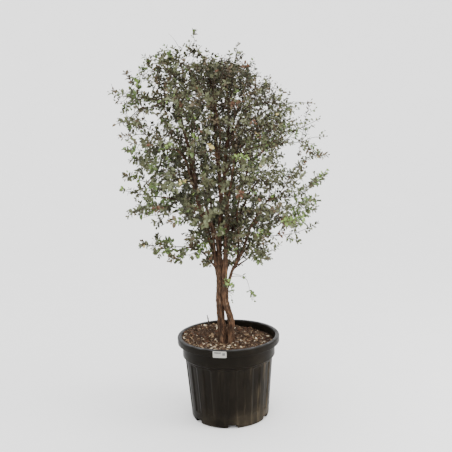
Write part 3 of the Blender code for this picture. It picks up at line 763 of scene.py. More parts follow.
def arc(centre, radius, start_angle, end_angle, steps):
    """Points of (radius, height) along an arc, both ends included."""
    points = []
    for index in range(steps + 1):
        angle = math.radians(start_angle + (end_angle - start_angle) * index / steps)
        points.append((centre[0] + radius * math.cos(angle), centre[1] + radius * math.sin(angle)))
    return points


def levels(top, foot, spacing):
    """Heights from top to foot, both ends included, about spacing apart."""
    count = max(1, round((top - foot) / spacing))
    return [top + (foot - top) * index / count for index in range(count + 1)]


def smoothstep(value):
    value = min(max(value, 0.0), 1.0)
    return value * value * (3 - 2 * value)


class Pile:
    """Points and faces of many small shapes, joined into one piece; it has grain if they all do."""

    def __init__(self):
        self.points, self.faces, self.tints, self.grain = [], [], [], []
        self.count = 0

    def add(self, points, faces, tint=0, grain=None):
        self.points.append(points)
        self.faces += [tuple(self.count + corner for corner in face) for face in faces]
        self.tints += [tint] * len(faces)
        self.count += len(points)
        if grain is not None:
            self.grain.append(grain)

    def put(self, points, faces, turn, place, tint=0, grain=None):
        """Add a shape, turned and then moved."""
        self.add(points @ np.array(turn).T + np.array(place), faces, tint, grain)

    def piece(self, name, materials, smooth=True):
        mesh = bpy.data.meshes.new(name)
        mesh.from_pydata(np.vstack(self.points).tolist(), [], self.faces)
        for material in materials:
            mesh.materials.append(material)
        mesh.polygons.foreach_set("material_index", self.tints)
        if len(self.grain) == len(self.points):
            attribute = mesh.attributes.new("grain", "FLOAT_VECTOR", "POINT")
            attribute.data.foreach_set("vector", np.vstack(self.grain).astype(np.float32).ravel())
        if smooth:
            mesh.shade_smooth()
        ob = bpy.data.objects.new(name, mesh)
        bpy.context.scene.collection.objects.link(ob)
        return ob


def blank(ob):
    """The points and faces of a small modelled shape, which is then cleared away."""
    points = np.array([vert.co for vert in ob.data.vertices])
    faces = [tuple(face.vertices) for face in ob.data.polygons]
    mesh = ob.data
    bpy.data.objects.remove(ob, do_unlink=True)
    bpy.data.meshes.remove(mesh)
    return points, faces


SKEWED = (0.31, 0.95, 0.05)  # lies along no limb
GRAIN_SHIFTS, GRAIN_SHIFT = 977, 0.013  # so that the grain differs from limb to limb


def sweep(pile, path, radii, sides, relief=None, tint=0):
    """A closed limb along a path, with rings square to it, added to a pile."""
    path = np.asarray(path, float)
    radii = np.asarray(radii, float)
    ahead = np.gradient(path, axis=0)
    ahead /= np.linalg.norm(ahead, axis=1, keepdims=True)
    along = np.concatenate(([0.0], np.cumsum(np.linalg.norm(np.diff(path, axis=0), axis=1))))
    across = np.cross(ahead[0], SKEWED)
    turns = np.arange(sides) * math.tau / sides
    cosines, sines = np.cos(turns), np.sin(turns)
    rings, grains = [], []
    for index, (point, forward) in enumerate(zip(path, ahead)):
        across = across - forward * across.dot(forward)
        across /= np.linalg.norm(across)
        other = np.cross(forward, across)
        reach = np.full(sides, radii[index])
        if relief:
            reach = reach + [relief(c, s, along[index], radii[index]) for c, s in zip(cosines, sines)]
        rings.append(point + np.outer(cosines * reach, across) + np.outer(sines * reach, other))
        grains.append(np.column_stack((cosines * radii[0], sines * radii[0], np.full(sides, along[index]))))
    last = (len(path) - 1) * sides
    faces = [tuple(reversed(range(sides))), tuple(range(last, last + sides))]
    for ring in range(len(path) - 1):
        for side in range(sides):
            a = ring * sides + side
            b = ring * sides + (side + 1) % sides
            faces.append((a, b, b + sides, a + sides))
    shift = (pile.count % GRAIN_SHIFTS) * GRAIN_SHIFT
    pile.add(np.vstack(rings), faces, tint, np.vstack(grains) + shift)


def respaced(path, radii, spacing):
    """The same limb with its points closer together, on a smooth curve."""
    stretches = len(path) - 1
    total = sum((b - a).length for a, b in zip(path, path[1:]))
    count = max(stretches * 2, round(total / spacing))
    fine = smooth_path(path, count)
    places = np.linspace(0, stretches, count + 1)
    return fine, list(np.interp(places, range(stretches + 1), radii))


# ---------------- pot and label

def wall_radius(height):
    """Outer radius of the tapered wall below the collar."""
    return BASE_RADIUS + (FLUTED_RADIUS - BASE_RADIUS) * height / COLLAR_FOOT


def inner_radius(height):
    """Inner radius of the pot, clear of the flutes that are pressed into the wall."""
    return wall_radius(height) - FLUTE_ROOM - WALL


def pot_profile():
    """Section of the pot: up the inside, over the lip and down the outside."""
    lip_in = LIP_RADIUS - LIP_WIDTH
    lip_foot = POT_HEIGHT - LIP_DROP
    skirt_in = LIP_RADIUS - SKIRT
    profile = [(0.0, FLOOR), (FLAT_RADIUS, FLOOR)]
    profile += arc((inner_radius(FLOOR) - FLOOR_ROUND, FLOOR + FLOOR_ROUND), FLOOR_ROUND, -90, 0, 4)
    profile += [(inner_radius(height), height) for height in levels(0.05, COLLAR_FOOT - 0.010, 0.05)]
    profile += [(COLLAR_RADIUS - WALL, COLLAR_FOOT + WALL)]
    profile += arc((lip_in + LIP_ROUND, POT_HEIGHT - LIP_ROUND), LIP_ROUND, 180, 90, 6)
    profile += arc((LIP_RADIUS - LIP_ROUND, POT_HEIGHT - LIP_ROUND), LIP_ROUND, 90, 0, 6)
    profile += [(LIP_RADIUS - LIP_DRAFT[0], POT_HEIGHT - 0.5 * LIP_DROP)]
    profile += arc((LIP_RADIUS - LIP_DRAFT[1] - LIP_EDGE, lip_foot + LIP_EDGE), LIP_EDGE, 0, -90, 3)
    profile += [(skirt_in, lip_foot + LIP_EDGE), (skirt_in, POT_HEIGHT - SKIRT - 0.004)]
    profile += [(lip_in + WALL + 0.004, POT_HEIGHT - SKIRT - 0.002), (lip_in + WALL, POT_HEIGHT - 0.012)]
    profile += [(COLLAR_RADIUS, height) for height in levels(lip_foot - 0.002, COLLAR_FOOT + 0.006, 0.02)]
    profile += arc((COLLAR_RADIUS - COLLAR_ROUND, COLLAR_FOOT + COLLAR_ROUND), COLLAR_ROUND, 0, -80, 4)
    heights = levels(FLUTE_TOP + 0.004, FLUTE_TOP - FLUTE_ARCH - 0.010, 0.0022)
    heights += levels(0.270, 0.080, 0.018) + levels(FLUTE_FOOT + 0.014, FLUTE_FOOT - 0.004, 0.0030) + [0.035]
    profile += [(wall_radius(height), height) for height in heights]
    profile += arc((wall_radius(BASE_ROUND) - BASE_ROUND, BASE_ROUND), BASE_ROUND, 0, -90, 5)
    return profile + [(FLAT_RADIUS, 0.0), (0.0, 0.0)]


def press_flutes(pot, settings):
    """Sink shallow troughs with arched tops into the outside of the wall."""
    pitch = 360 / FLUTES
    half = 0.5 * pitch * settings.flute_width
    for vert in pot.data.vertices:
        x, y, z = vert.co
        radius = math.hypot(x, y)
        turn = math.atan2(y, x)
        off = abs((math.degrees(turn) - FLUTE_AZIMUTH + 0.5 * pitch) % pitch - 0.5 * pitch) / half
        if not FLUTE_FOOT < z < FLUTE_TOP or radius < inner_radius(z) + 0.5 * WALL or off >= 1:
            continue
        crest = FLUTE_TOP - FLUTE_ARCH * (1 - math.sqrt(1 - off * off))
        sunk = smoothstep((1 - off) / FLUTE_EDGE) * smoothstep((crest - z) / FLUTE_EASE)
        sunk *= smoothstep((z - FLUTE_FOOT) / FLUTE_EASE)
        radius -= settings.flute_depth * sunk
        vert.co.x, vert.co.y = radius * math.cos(turn), radius * math.sin(turn)


def cut_notches(pot):
    """Drain notches through the foot of the wall."""
    long, wide, high = NOTCH_SIZE
    for azimuth in NOTCHES:
        cutter = start("cube", size=1.0, location=polar(azimuth, NOTCH_REACH, 0.0),
                       rotation=(0, 0, math.radians(azimuth)), scale=(long, wide, high))
        bpy.ops.object.transform_apply(location=False, rotation=False, scale=True)
        modify(cutter, "BEVEL", width=NOTCH_ROUND, segments=3)
        modify(pot, "BOOLEAN", operation="DIFFERENCE", object=cutter)
        bpy.data.objects.remove(cutter, do_unlink=True)


def make_pot(settings):
    pot = turned("nursery_pot", pot_profile(), POT_STEPS)
    press_flutes(pot, settings)
    cut_notches(pot)
    face_outwards(pot)
    pot.data.materials.append(plastic(settings))
    select_only(pot)
    bpy.ops.object.shade_smooth_by_angle(angle=math.radians(SHARP))
    return settle(pot, "pot_plastic", "pot")


def make_label(settings):
    """A thin curved sticker with rounded corners, a little lifted at one corner."""
    label = start("grid", x_subdivisions=LABEL_GRID[0], y_subdivisions=LABEL_GRID[1], size=1.0)
    label.name = label.data.name = "lip_label"
    width, height = settings.label_width, settings.label_height
    for vert in label.data.vertices:
        x, y = vert.co.x * width, vert.co.y * height
        over_x = max(0.0, abs(x) - 0.5 * width + LABEL_CORNER)
        over_y = max(0.0, abs(y) - 0.5 * height + LABEL_CORNER)
        over = math.hypot(over_x, over_y)
        if over > LABEL_CORNER:
            x -= math.copysign(over_x * (1 - LABEL_CORNER / over), x)
            y -= math.copysign(over_y * (1 - LABEL_CORNER / over), y)
        lift = LABEL_CURL * smoothstep((x / width + y / height - 0.55) / 0.45)
        radius = LIP_RADIUS + LABEL_LIFT + lift
        turn = math.radians(LABEL_AZIMUTH) + x / radius
        vert.co = (radius * math.cos(turn), radius * math.sin(turn), LABEL_TOP - 0.5 * height + y)
    modify(label, "SOLIDIFY", thickness=LABEL_THICKNESS, offset=0.0)
    label.data.materials.append(label_paper(settings))
    label.data.shade_smooth()
    return settle(label, "label_stock", "label")


# ---------------- potting mix

def soil_height(x, y):
    """Height of the lumpy mix, which rises to the wall, most of all where it is banked up."""
    radius = math.hypot(x, y)
    edge = inner_radius(COLLAR_FOOT)
    rise = smoothstep((radius - SOIL_LEVEL_RADIUS) / (edge - SOIL_LEVEL_RADIUS))
    turn = math.atan2(y, x)
    facing = math.cos(turn - math.radians(SOIL_HIGH_AZIMUTH))
    height = SOIL_LEVEL + rise * (SOIL_HEAP + SOIL_TILT * facing)
    banked = max(0.0, math.cos(turn - math.radians(BANK_AZIMUTH)))
    height += BANK * rise * banked ** 2
    for pitch, size in SOIL_LUMPS:
        height += size * noise.noise(Vector((x, y, 0.3)) * pitch)
    return height


def soil_edge_radius(height):
    """Inner radius of the collar at a height."""
    foot, top = COLLAR_FOOT + WALL, POT_HEIGHT - LIP_ROUND
    narrow, wide = COLLAR_RADIUS - WALL, LIP_RADIUS - LIP_WIDTH
    return narrow + (wide - narrow) * (height - foot) / (top - foot)


def make_mix_bed(settings):
    """The mix itself, lumpy on top and closed below."""
    rim = soil_edge_radius(SOIL_LEVEL) - SOIL_GAP
    foot = COLLAR_FOOT + WALL + 0.002
    profile = [(rim * index / SOIL_RINGS, SOIL_LEVEL) for index in range(SOIL_RINGS + 1)]
    profile += [(soil_edge_radius(foot) - SOIL_GAP, foot), (0.0, foot)]
    bed = turned("mix_bed", profile, SOIL_STEPS)
    for vert in bed.data.vertices:
        if vert.co.z > foot + MERGE:
            vert.co.z = soil_height(vert.co.x, vert.co.y)
            radius = math.hypot(vert.co.x, vert.co.y)
            if radius > rim - MERGE:
                out = (soil_edge_radius(vert.co.z) - SOIL_GAP) / radius
                vert.co.x, vert.co.y = vert.co.x * out, vert.co.y * out
    face_outwards(bed)
    drier = [2.2 * channel for channel in settings.dark]
    bed.data.materials.append(mulch("damp_mix", (settings.dark, drier), 0.95))
    bed.data.shade_smooth()
    return settle(bed, "potting_mix", "soil")


CHIP_BLANKS = 9
CHIP_TAPER = 0.45
CHIP_KNOCK = 0.16
CHIP_SMALLNESS = 2.4  # the greater, the more of the chips are small
CHIP_WIDTH = (0.35, 0.75)  # shares of a chip's length
CHIP_THICKNESS = (0.14, 0.34)
CHIP_TILT = (0.36, 0.45)  # radians about a chip's width and its length
CHIP_LIFT = 0.0022


def chip_blank(seed):
    """A splinter of bark: a cube that is cut once each way, with its points knocked about."""
    chip = start("cube", size=1.0)
    bpy.ops.object.mode_set(mode="EDIT")
    bpy.ops.mesh.subdivide(number_cuts=1)
    bpy.ops.object.mode_set(mode="OBJECT")
    rng = random.Random(seed)
    for vert in chip.data.vertices:
        taper = 1 - CHIP_TAPER * abs(vert.co.x * 2) ** 1.5
        knock = Vector([rng.uniform(-CHIP_KNOCK, CHIP_KNOCK) for _ in range(3)])
        vert.co = (vert.co.x + knock.x, vert.co.y * taper + knock.y, vert.co.z * taper + knock.z)
    return blank(chip)


CHIP_COLOURS = (  # name, one shade, another shade, how common
    ("dark", (0.026, 0.0150, 0.0094), (0.046, 0.027, 0.017), 34),
    ("brown", (0.050, 0.029, 0.017), (0.090, 0.052, 0.031), 33),
    ("red", (0.075, 0.035, 0.020), (0.120, 0.060, 0.035), 11),
    ("tan", (0.180, 0.120, 0.068), (0.310, 0.222, 0.135), 12),
    ("cream", (0.460, 0.375, 0.255), (0.640, 0.560, 0.420), 6),
    ("grey", (0.110, 0.085, 0.065), (0.210, 0.170, 0.130), 4),
)


def on_mix(rng, margin):
    """A random place on the mix, clear of the wall and of both stems."""
    stems = [limb_plan()[row.name] for row in STEMS]
    while True:
        x, y = (rng.uniform(-LIP_RADIUS, LIP_RADIUS) for _ in range(2))
        z = soil_height(x, y)
        clear = all((Vector((x, y)) - path[0].xy).length > radii[0] + 0.2 * margin for path, radii in stems)
        if math.hypot(x, y) < soil_edge_radius(z) - margin and clear:
            return Vector((x, y, z))


def scatter_chips(settings):
    """Bark chips that lie on the mix at all angles, the small ones between the large."""
    rng = random.Random("chips")
    blanks = [chip_blank(seed) for seed in range(CHIP_BLANKS)]
    shares = [row[-1] for row in CHIP_COLOURS]
    pile = Pile()
    for _ in range(settings.chips):
        long = settings.shortest + (settings.longest - settings.shortest) * rng.random() ** CHIP_SMALLNESS
        size = np.array((long, long * rng.uniform(*CHIP_WIDTH), long * rng.uniform(*CHIP_THICKNESS)))
        place = on_mix(rng, 0.48 * long)
        turn = Matrix.Rotation(rng.uniform(0, math.tau), 3, "Z")
        for tilted, axis in zip(CHIP_TILT, "YX"):
            turn = turn @ Matrix.Rotation(rng.gauss(0, tilted), 3, axis)
        place.z += 0.35 * size[2] + rng.uniform(0, CHIP_LIFT)
        points, faces = rng.choice(blanks)
        tint = rng.choices(range(len(shares)), shares)[0]
        pile.put(points * size, faces, turn, place, tint)
    materials = [mulch("chip_" + name, (one, other)) for name, one, other, _ in CHIP_COLOURS]
    chips = pile.piece("bark_chips", materials, smooth=False)
    return settle(chips, "potting_mix")


CRUMBS = 34
CRUMB = ((-0.012, 0.0006), (-0.004, 0.0008), (0.005, 0.0008), (0.012, 0.0005))  # along it, radius
LITTER_LIFT = 0.0035
STICK_FOOT = Vector((-0.100, 0.170, 0.386))
STICK = ((0, 0, 0, 4.0), (1, 0, 22, 3.8), (-2, 0, 45, 3.4), (-6.5, 0, 70, 2.2))  # mm from its foot, radius
STICK_FORK = ((0, 0, 0, 0.9), (4, -1, 8, 0.7), (6, -2, 15, 0.4))  # mm from its third point


def lay_stick(pile, foot, rows, sides):
    path = [foot + from_mm(row[:3]) for row in rows]
    sweep(pile, path, [row[3] / 1000 for row in rows], sides, tint=1)
    return path


def lay_litter(settings, leaf_settings):
    """A few dry leaves and crumbs of twig on the mix, and one dead stick that stands in it."""
    rng = random.Random("litter")
    pile = Pile()
    points, faces = leaf_blank(leaf_settings, curl=0.45)
    for _ in range(settings.fallen_leaves):
        place = on_mix(rng, 0.016)
        place.z += LITTER_LIFT
        turn = Matrix.Rotation(rng.uniform(0, math.tau), 3, "Z")
        turn = turn @ Matrix.Rotation(rng.gauss(0, 0.35), 3, "X")
        size = leaf_settings.leaf * rng.uniform(0.6, 0.95)
        pile.put(points * size, faces, turn, place)
    for _ in range(CRUMBS):
        place = on_mix(rng, 0.022)
        turn = rng.uniform(0, math.tau)
        flat = Vector((math.cos(turn), math.sin(turn), rng.uniform(-0.1, 0.2)))
        path = [place + flat * t + UP * (LITTER_LIFT + rng.uniform(0, 0.001)) for t, _ in CRUMB]
        sweep(pile, path, [radius for _, radius in CRUMB], 5, tint=1)
    stick = lay_stick(pile, STICK_FOOT, STICK, 8)
    lay_stick(pile, stick[2], STICK_FORK, 6)
    dry = mulch("dry_leaf", ((0.130, 0.070, 0.035), (0.260, 0.160, 0.085)), 0.7)
    dead = mulch("dead_twig", ((0.030, 0.022, 0.016), (0.070, 0.054, 0.040)), 0.85)
    return settle(pile.piece("litter", [dry, dead]), "potting_mix")


# ---------------- stems and boughs

EASE_ROUNDS = 50  # rounds of smoothing of a bough's bends
# Where the bark of both stems grows together: one stem shifts towards the other and both swell
Closing = namedtuple("Closing", "stem shift swell height span")
CLOSING = Closing("stem_right", 0.0082, 0.10, 0.560, 0.054)
BLEND = 14  # points over which a stem runs out into its leading bough
SUNK = 0.012  # how far a stem goes down into the mix
THIN_END = 0.0014  # radius of a bough's end inside its mass
LEADER_SWELL, FORK_SWELL = -0.25, 0.35  # of a bough's foot, where it leaves its stem or limb
BROAD_WAVE = 0.11  # length of the broad swellings along a limb
PLATE = (0.010, 0.026)  # width and length of a plate of bark
FACET = 0.0017  # width of a face round a limb
SIDES = (10, 72)


def bark_relief(settings, seed, sinew):
    """How far the bark stands out at a turn round a limb and a distance along it."""

    def relief(cosine, sine, along, radius):
        round_limb = Vector((cosine, sine, 0)) * radius
        fibre = round_limb / settings.ridge_width
        fibre.z = along / settings.ridge_length + seed
        furrow = abs(noise.noise(fibre)) + 0.5 * abs(noise.noise(fibre * 2.1))
        broad = Vector((cosine * 1.5, sine * 1.5, along / BROAD_WAVE + seed))
        plate = round_limb / PLATE[0]
        plate.z = along / PLATE[1] - seed
        size = settings.ridge_depth * min(1.0, radius / 0.010)
        return size * (0.8 - 2.2 * furrow + 0.8 * noise.noise(plate)) + sinew * radius * noise.noise(broad)

    return relief


def leader_path(goal, ahead, mass):
    """From where a bough enters its mass to almost halfway from its middle to its furthest spray."""
    end = mass_centre(mass).lerp(polar(*mass.spray), 0.45)
    reach = (end - goal).length
    last = end - (end - goal).lerp(ahead * reach, 0.3) * 0.3
    return bezier_path(goal, goal + ahead * 0.35 * reach, last, end, 6)


def eased(path):
    """The same path with its sharper bends rounded."""
    points = np.array(path)
    for _ in range(EASE_ROUNDS):
        points[1:-1] = 0.5 * points[1:-1] + 0.25 * (points[:-2] + points[2:])
    return [Vector(point) for point in points]


def full_stem(row):
    """A stem from below the mix to some way up its leading bough."""
    path, radii = limb_plan()[row.name]
    fine, fine_radii = respaced(path, radii, 0.003)
    above = [(p, r) for p, r in zip(*respaced(*limb_plan()[row.leader], 0.006)) if p.z > path[-1].z + 0.004]
    for index, (point, radius) in enumerate(above[:BLEND]):
        fine.append(point)
        fine_radii.append(radii[-1] + (0.80 * radius - radii[-1]) * smoothstep((index + 1) / BLEND))
    for index, point in enumerate(fine):
        near = math.exp(-((point.z - CLOSING.height) / CLOSING.span) ** 2)
        fine_radii[index] *= 1 + CLOSING.swell * near
        point.x -= CLOSING.shift * near * (row.name == CLOSING.stem)
    return [fine[0] - UP * SUNK] + fine, [fine_radii[0] * 1.1] + fine_radii


def full_bough(row):
    """A bough from its foot to its thin end inside its mass."""
    path, radii = (list(values) for values in limb_plan()[row.name])
    if row.goal in MASS_AT:
        onward = leader_path(path[-1], (path[-1] - path[-2]).normalized(), MASS_AT[row.goal])[1:]
        path += onward
        radii += [THIN_END + (row.tip - THIN_END) * (1 - (index + 1) / len(onward)) ** 1.6
                  for index in range(len(onward))]
    fine, fine_radii = respaced(path, radii, 0.005)
    fine = eased(fine)
    swell = LEADER_SWELL if row.name in [stem.leader for stem in STEMS] else FORK_SWELL
    along = 0.0
    for index in range(len(fine)):
        along += (fine[index] - fine[index - 1]).length if index else 0.0
        fine_radii[index] *= 1 + swell * math.exp(-along / (2.5 * row.foot))
    return fine, fine_radii


@lru_cache
def full_limbs():
    """Every limb as it is shown, with its points close together."""
    limbs = {row.name: full_stem(row) for row in STEMS}
    limbs.update({row.name: full_bough(row) for row in BOUGHS})
    return limbs


def make_limb(name, settings, material, slot, sinew):
    """A stem or bough with bark relief, more sinewy the greater sinew is."""
    path, radii = full_limbs()[name]
    sides = min(max(round(math.tau * radii[len(radii) // 3] / FACET), SIDES[0]), SIDES[1])
    pile = Pile()
    seed = random.Random(name).uniform(0, 90)
    sweep(pile, path, radii, sides, bark_relief(settings, seed, sinew))
    return settle(pile.piece("bark_" + name, [material]), slot, name)


def flake_blank():
    """A strip of bark that is fixed along its middle and curls away at both ends."""
    strip = start("grid", x_subdivisions=6, y_subdivisions=2, size=1.0)
    for vert in strip.data.vertices:
        x, y = vert.co.x, vert.co.y
        narrow = 1 - 0.7 * abs(2 * x) ** 3
        vert.co = (x, y * narrow, 0.10 * (2 * x) ** 4 + 0.03 - 0.3 * y * y)
    modify(strip, "SOLIDIFY", thickness=0.02)
    return blank(strip)


FLAKY_FOOT = 0.0075  # a bough with a foot thicker than this has flakes
FLAKY_SHARE = 0.35  # of its length
FLAKE_LONG = (0.010, 0.046)
FLAKE_WIDE = (0.0026, 0.0085)


def peel_flakes(settings, material):
    """Strips of bark that lift off the stems and the feet of the thicker boughs."""
    rng = random.Random("flakes")
    points, faces = flake_blank()
    faces = [face[::-1] for face in faces]  # each flake's basis mirrors the strip
    pile = Pile()
    hosts = [(row.name, 1.0) for row in STEMS] * 4
    hosts += [(row.name, FLAKY_SHARE) for row in BOUGHS if row.foot > FLAKY_FOOT]
    for _ in range(settings.flakes):
        name, share = rng.choice(hosts)
        path, radii = full_limbs()[name]
        index = rng.randrange(6, int(share * (len(path) - 6)))
        ahead = heading_at(path, index)
        out = square_to(ahead, rng.uniform(0, math.tau))
        long = rng.uniform(*FLAKE_LONG)
        wide = rng.uniform(*FLAKE_WIDE) * min(1.0, radii[index] / 0.011)
        lifted = (ahead + out * rng.gauss(0, 0.10)).normalized()
        side = lifted.cross(out).normalized()
        basis = np.column_stack((lifted * long, side * wide, lifted.cross(side) * -long * 0.30))
        grain = np.column_stack((points[:, 1] * wide, points[:, 2] * 0, points[:, 0] * long))
        pile.put(points, faces, basis, path[index] + out * (radii[index] - 0.0002), 0, grain + rng.random())
    return settle(pile.piece("bark_flakes", [material]), "stem_bark")


# ---------------- twigs

Shoot = namedtuple("Shoot", "tier path radii leafy young tint size")

CROWN_MIDDLE = Vector((-0.02, 0.0, 1.25))
CROWN_HALF = Vector((0.50, 0.45, 0.60))
GAP = 0.070  # foliage fills gaps between masses up to twice this
FACING = 0.20  # a point lies between two masses if the ways to them have a dot product under this
CORE_MIDDLE = Vector((0.02, 0.0, 0.0))
CORE_FOOT = 0.725  # from here up foliage also fills the space among the limbs
CORE_RADIUS = 0.27  # as far out as this
CORE_RISE = 0.26  # and this much higher up
CORE_TOP = 1.70
TOP_LEFT = 1.750  # how high twig ends reach on the left, but for the sprays
TOP_RIGHT = 1.695  # and on the right, where the crown slopes down to its shoulder
# Small clumps of foliage below and beside the masses: the middle and half size of each
TUFTS = (((-0.125, -0.01, 0.815), (0.080, 0.070, 0.045)), ((0.165, -0.02, 0.825), (0.090, 0.075, 0.048)),
         ((0.010, 0.070, 0.810), (0.120, 0.070, 0.075)), ((-0.055, 0.020, 0.850), (0.070, 0.080, 0.060)),
         ((-0.080, -0.020, 0.785), (0.055, 0.050, 0.045)), ((-0.015, -0.060, 0.880), (0.090, 0.045, 0.055)),
         ((-0.370, 0.000, 1.665), (0.065, 0.060, 0.045)), ((0.300, -0.020, 1.010), (0.075, 0.080, 0.055)))
OPENING = ((-0.310, 0.0, 0.935), (0.155, 0.5, 0.052))  # open to the sky from front to back
UNDERSIDE = (0.200, 0.865, 0.9)  # x and z from which the crown rises to the right, and its slope
# Where the foliage is thinner or fuller, seen from the front: x, z, size, and how much further
# apart the twigs are there, less than 0 where they are closer
THIN_SPOTS = ((-0.113, 1.724, 0.047, 1.00), (-0.171, 1.667, 0.043, 0.80), (-0.389, 1.550, 0.052, -0.45),
              (-0.318, 1.676, 0.047, -0.35), (-0.324, 1.744, 0.033, 0.50), (0.100, 1.732, 0.038, 0.60),
              (-0.310, 1.456, 0.052, 0.60), (-0.297, 1.539, 0.047, 0.50), (-0.409, 1.436, 0.043, -0.35),
              (-0.400, 1.333, 0.047, 1.20), (0.166, 1.590, 0.043, -0.35), (0.213, 1.381, 0.076, -0.42),
              (0.104, 1.319, 0.061, -0.40), (0.316, 1.378, 0.043, -0.30), (0.296, 1.247, 0.057, 1.50),
              (0.285, 1.153, 0.038, -0.30), (0.124, 1.181, 0.047, -0.35), (-0.226, 0.966, 0.057, 2.00),
              (-0.416, 1.101, 0.052, 1.00), (0.311, 0.960, 0.057, -0.50), (0.374, 1.036, 0.043, -0.20),
              (0.223, 0.880, 0.038, 0.80), (-0.101, 0.816, 0.052, -0.35), (-0.209, 0.892, 0.043, 0.60),
              (0.150, 0.813, 0.038, -0.40))
DARTS = 60000  # places tried for twig ends
SPRAY_SHARES = (0.50, 0.64, 0.78, 0.90)  # of the way from a mass's middle to its furthest spray
TURN_COST = 0.50  # how much dearer it is for a twig to turn back than to run on
ASTRAY_COST = 0.45  # and to run inwards or down rather than out and up
PATH_COST = 0.30  # how much the way back to the limb counts
THICK_COST = 4.0  # extra way for a twig that grows from a limb, per its thickness
STEP = 0.011  # between the points of a shoot
STRAIGHTEN = (4, 0.40)  # rounds and share by which twigs are straightened
TWIG_STEP = 0.017  # between the points of a twig
SWING = 0.0050  # how far a twig sways between its forks
SWAYS = 26.0  # sways per metre
SHOOT_TIP = 0.0005  # radius of a shoot's end
STRAY_LEEWAY = 0.045  # how far a straying shoot may stand out of the foliage
SHOOT_LEEWAY = (-0.006, 0.010)  # how far the others may
SPUR_LEEWAY = 0.008  # how far a side shoot may stand out


def outward(point):
    """Direction away from the middle of the crown."""
    away = point - CROWN_MIDDLE
    away.z *= 0.6
    return away.normalized()


def outerness(point):
    """0 deep in the crown, 1 at its outside."""
    away = point - CROWN_MIDDLE
    return smoothstep((Vector([a / h for a, h in zip(away, CROWN_HALF)]).length - 0.45) / 0.5)


def sideways(point):
    """0 near the stems, 1 at the crown's widest."""
    away = point - CROWN_MIDDLE
    return smoothstep((math.hypot(away.x / CROWN_HALF.x, away.y / CROWN_HALF.y) - 0.35) / 0.55)


def in_front(point):
    """1 in front of the boughs, where the foliage is thinner and lets them show, 0 elsewhere."""
    beside = smoothstep((abs(point.x + 0.04) - 0.13) / 0.12)
    return smoothstep((0.02 - point.y) / 0.14) * (1 - beside) * (1 - smoothstep((point.z - 1.45) / 0.20))


def spotted(point, x, z, size):
    """1 at a round spot, seen from the front, and 0 well away from it."""
    return smoothstep(1.6 - 1.2 * math.hypot(point.x - x, point.z - z) / size)


def scatter_vector(rng, size):
    return Vector([rng.gauss(0, size) for _ in range(3)])


def seeded_by(use, point):
    """Random numbers of its own for each twig or shoot, so that a small change stays local."""
    return random.Random(f"{use} {point.x:.3f} {point.y:.3f} {point.z:.3f}")


def wobble(point):
    """A smooth offset that depends on nothing but the place."""
    return Vector([noise.noise(point + shift) for shift in (UP * 7.9, UP * 31.7, UP * 57.3)])


class Room:
    """The space that one foliage mass of the frame fills."""

    def __init__(self, mass):
        self.mass = mass
        self.centre = mass_centre(mass)
        low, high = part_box(mass.name)
        self.low = [value - GAP for value in low]
        self.high = [value + GAP for value in high]
        mesh = frame["nodes"][mass.name].data
        self.tree = BVHTree.FromPolygons([vert.co for vert in mesh.vertices],
                                         [tuple(face.vertices) for face in mesh.polygons])

    def depth(self, point):
        """How deep inside the mass a point is, less than 0 outside, and the way to its surface."""
        if not all(a < value < b for a, value, b in zip(self.low, point, self.high)):
            return -1.0, UP
        nearest, _, _, distance = self.tree.find_nearest(point)
        away = point - self.centre
        hit = self.tree.ray_cast(self.centre, away.normalized())
        inside = hit[0] is not None and away.length < hit[3]
        return (distance if inside else -distance), (nearest - point).normalized()


@lru_cache
def crown_rooms():
    return [Room(mass) for mass in MASSES]


def inside_egg(point, middle, half):
    """Whether a point is inside an ellipsoid."""
    return sum(((p - m) / h) ** 2 for p, m, h in zip(point, middle, half)) < 1


def trimmed(point):
    """Whether a point is above or beneath the crown's outline, or in its opening."""
    left_top = TOP_LEFT + 0.12 * noise.noise(point * 9.0)
    top = left_top if point.x < -0.09 else TOP_RIGHT - 0.68 * max(point.x - 0.03, 0.0)
    start_x, start_z, rise = UNDERSIDE
    beneath = point.x > start_x and point.z < start_z + rise * (point.x - start_x)
    return point.z > top or beneath or inside_egg(point, *OPENING)


def in_crown(point, inset):
    """The mass that a point is in, between or near, or None if it is outside the foliage."""
    found = sorted(((*room.depth(point), room.mass) for room in crown_rooms()), key=lambda row: -row[0])
    (depth, way, mass), (other_depth, other_way, _) = found[:2]
    if depth > inset:
        return mass
    if depth > -GAP and other_depth > -GAP and way.dot(other_way) < FACING:
        return mass
    level = Vector((point.x, point.y, 0)) - CORE_MIDDLE
    core = CORE_RADIUS * smoothstep((point.z - CORE_FOOT) / CORE_RISE)
    if any(inside_egg(point, *tuft) for tuft in TUFTS) or point.z < CORE_TOP and level.length < core:
        return min(MASSES, key=lambda row: (mass_centre(row) - point).length_squared)
    return None


def thinness(point):
    """How much further apart the twigs are than elsewhere, by THIN_SPOTS."""
    return sum(amount * spotted(point, x, z, size) for x, z, size, amount in THIN_SPOTS)


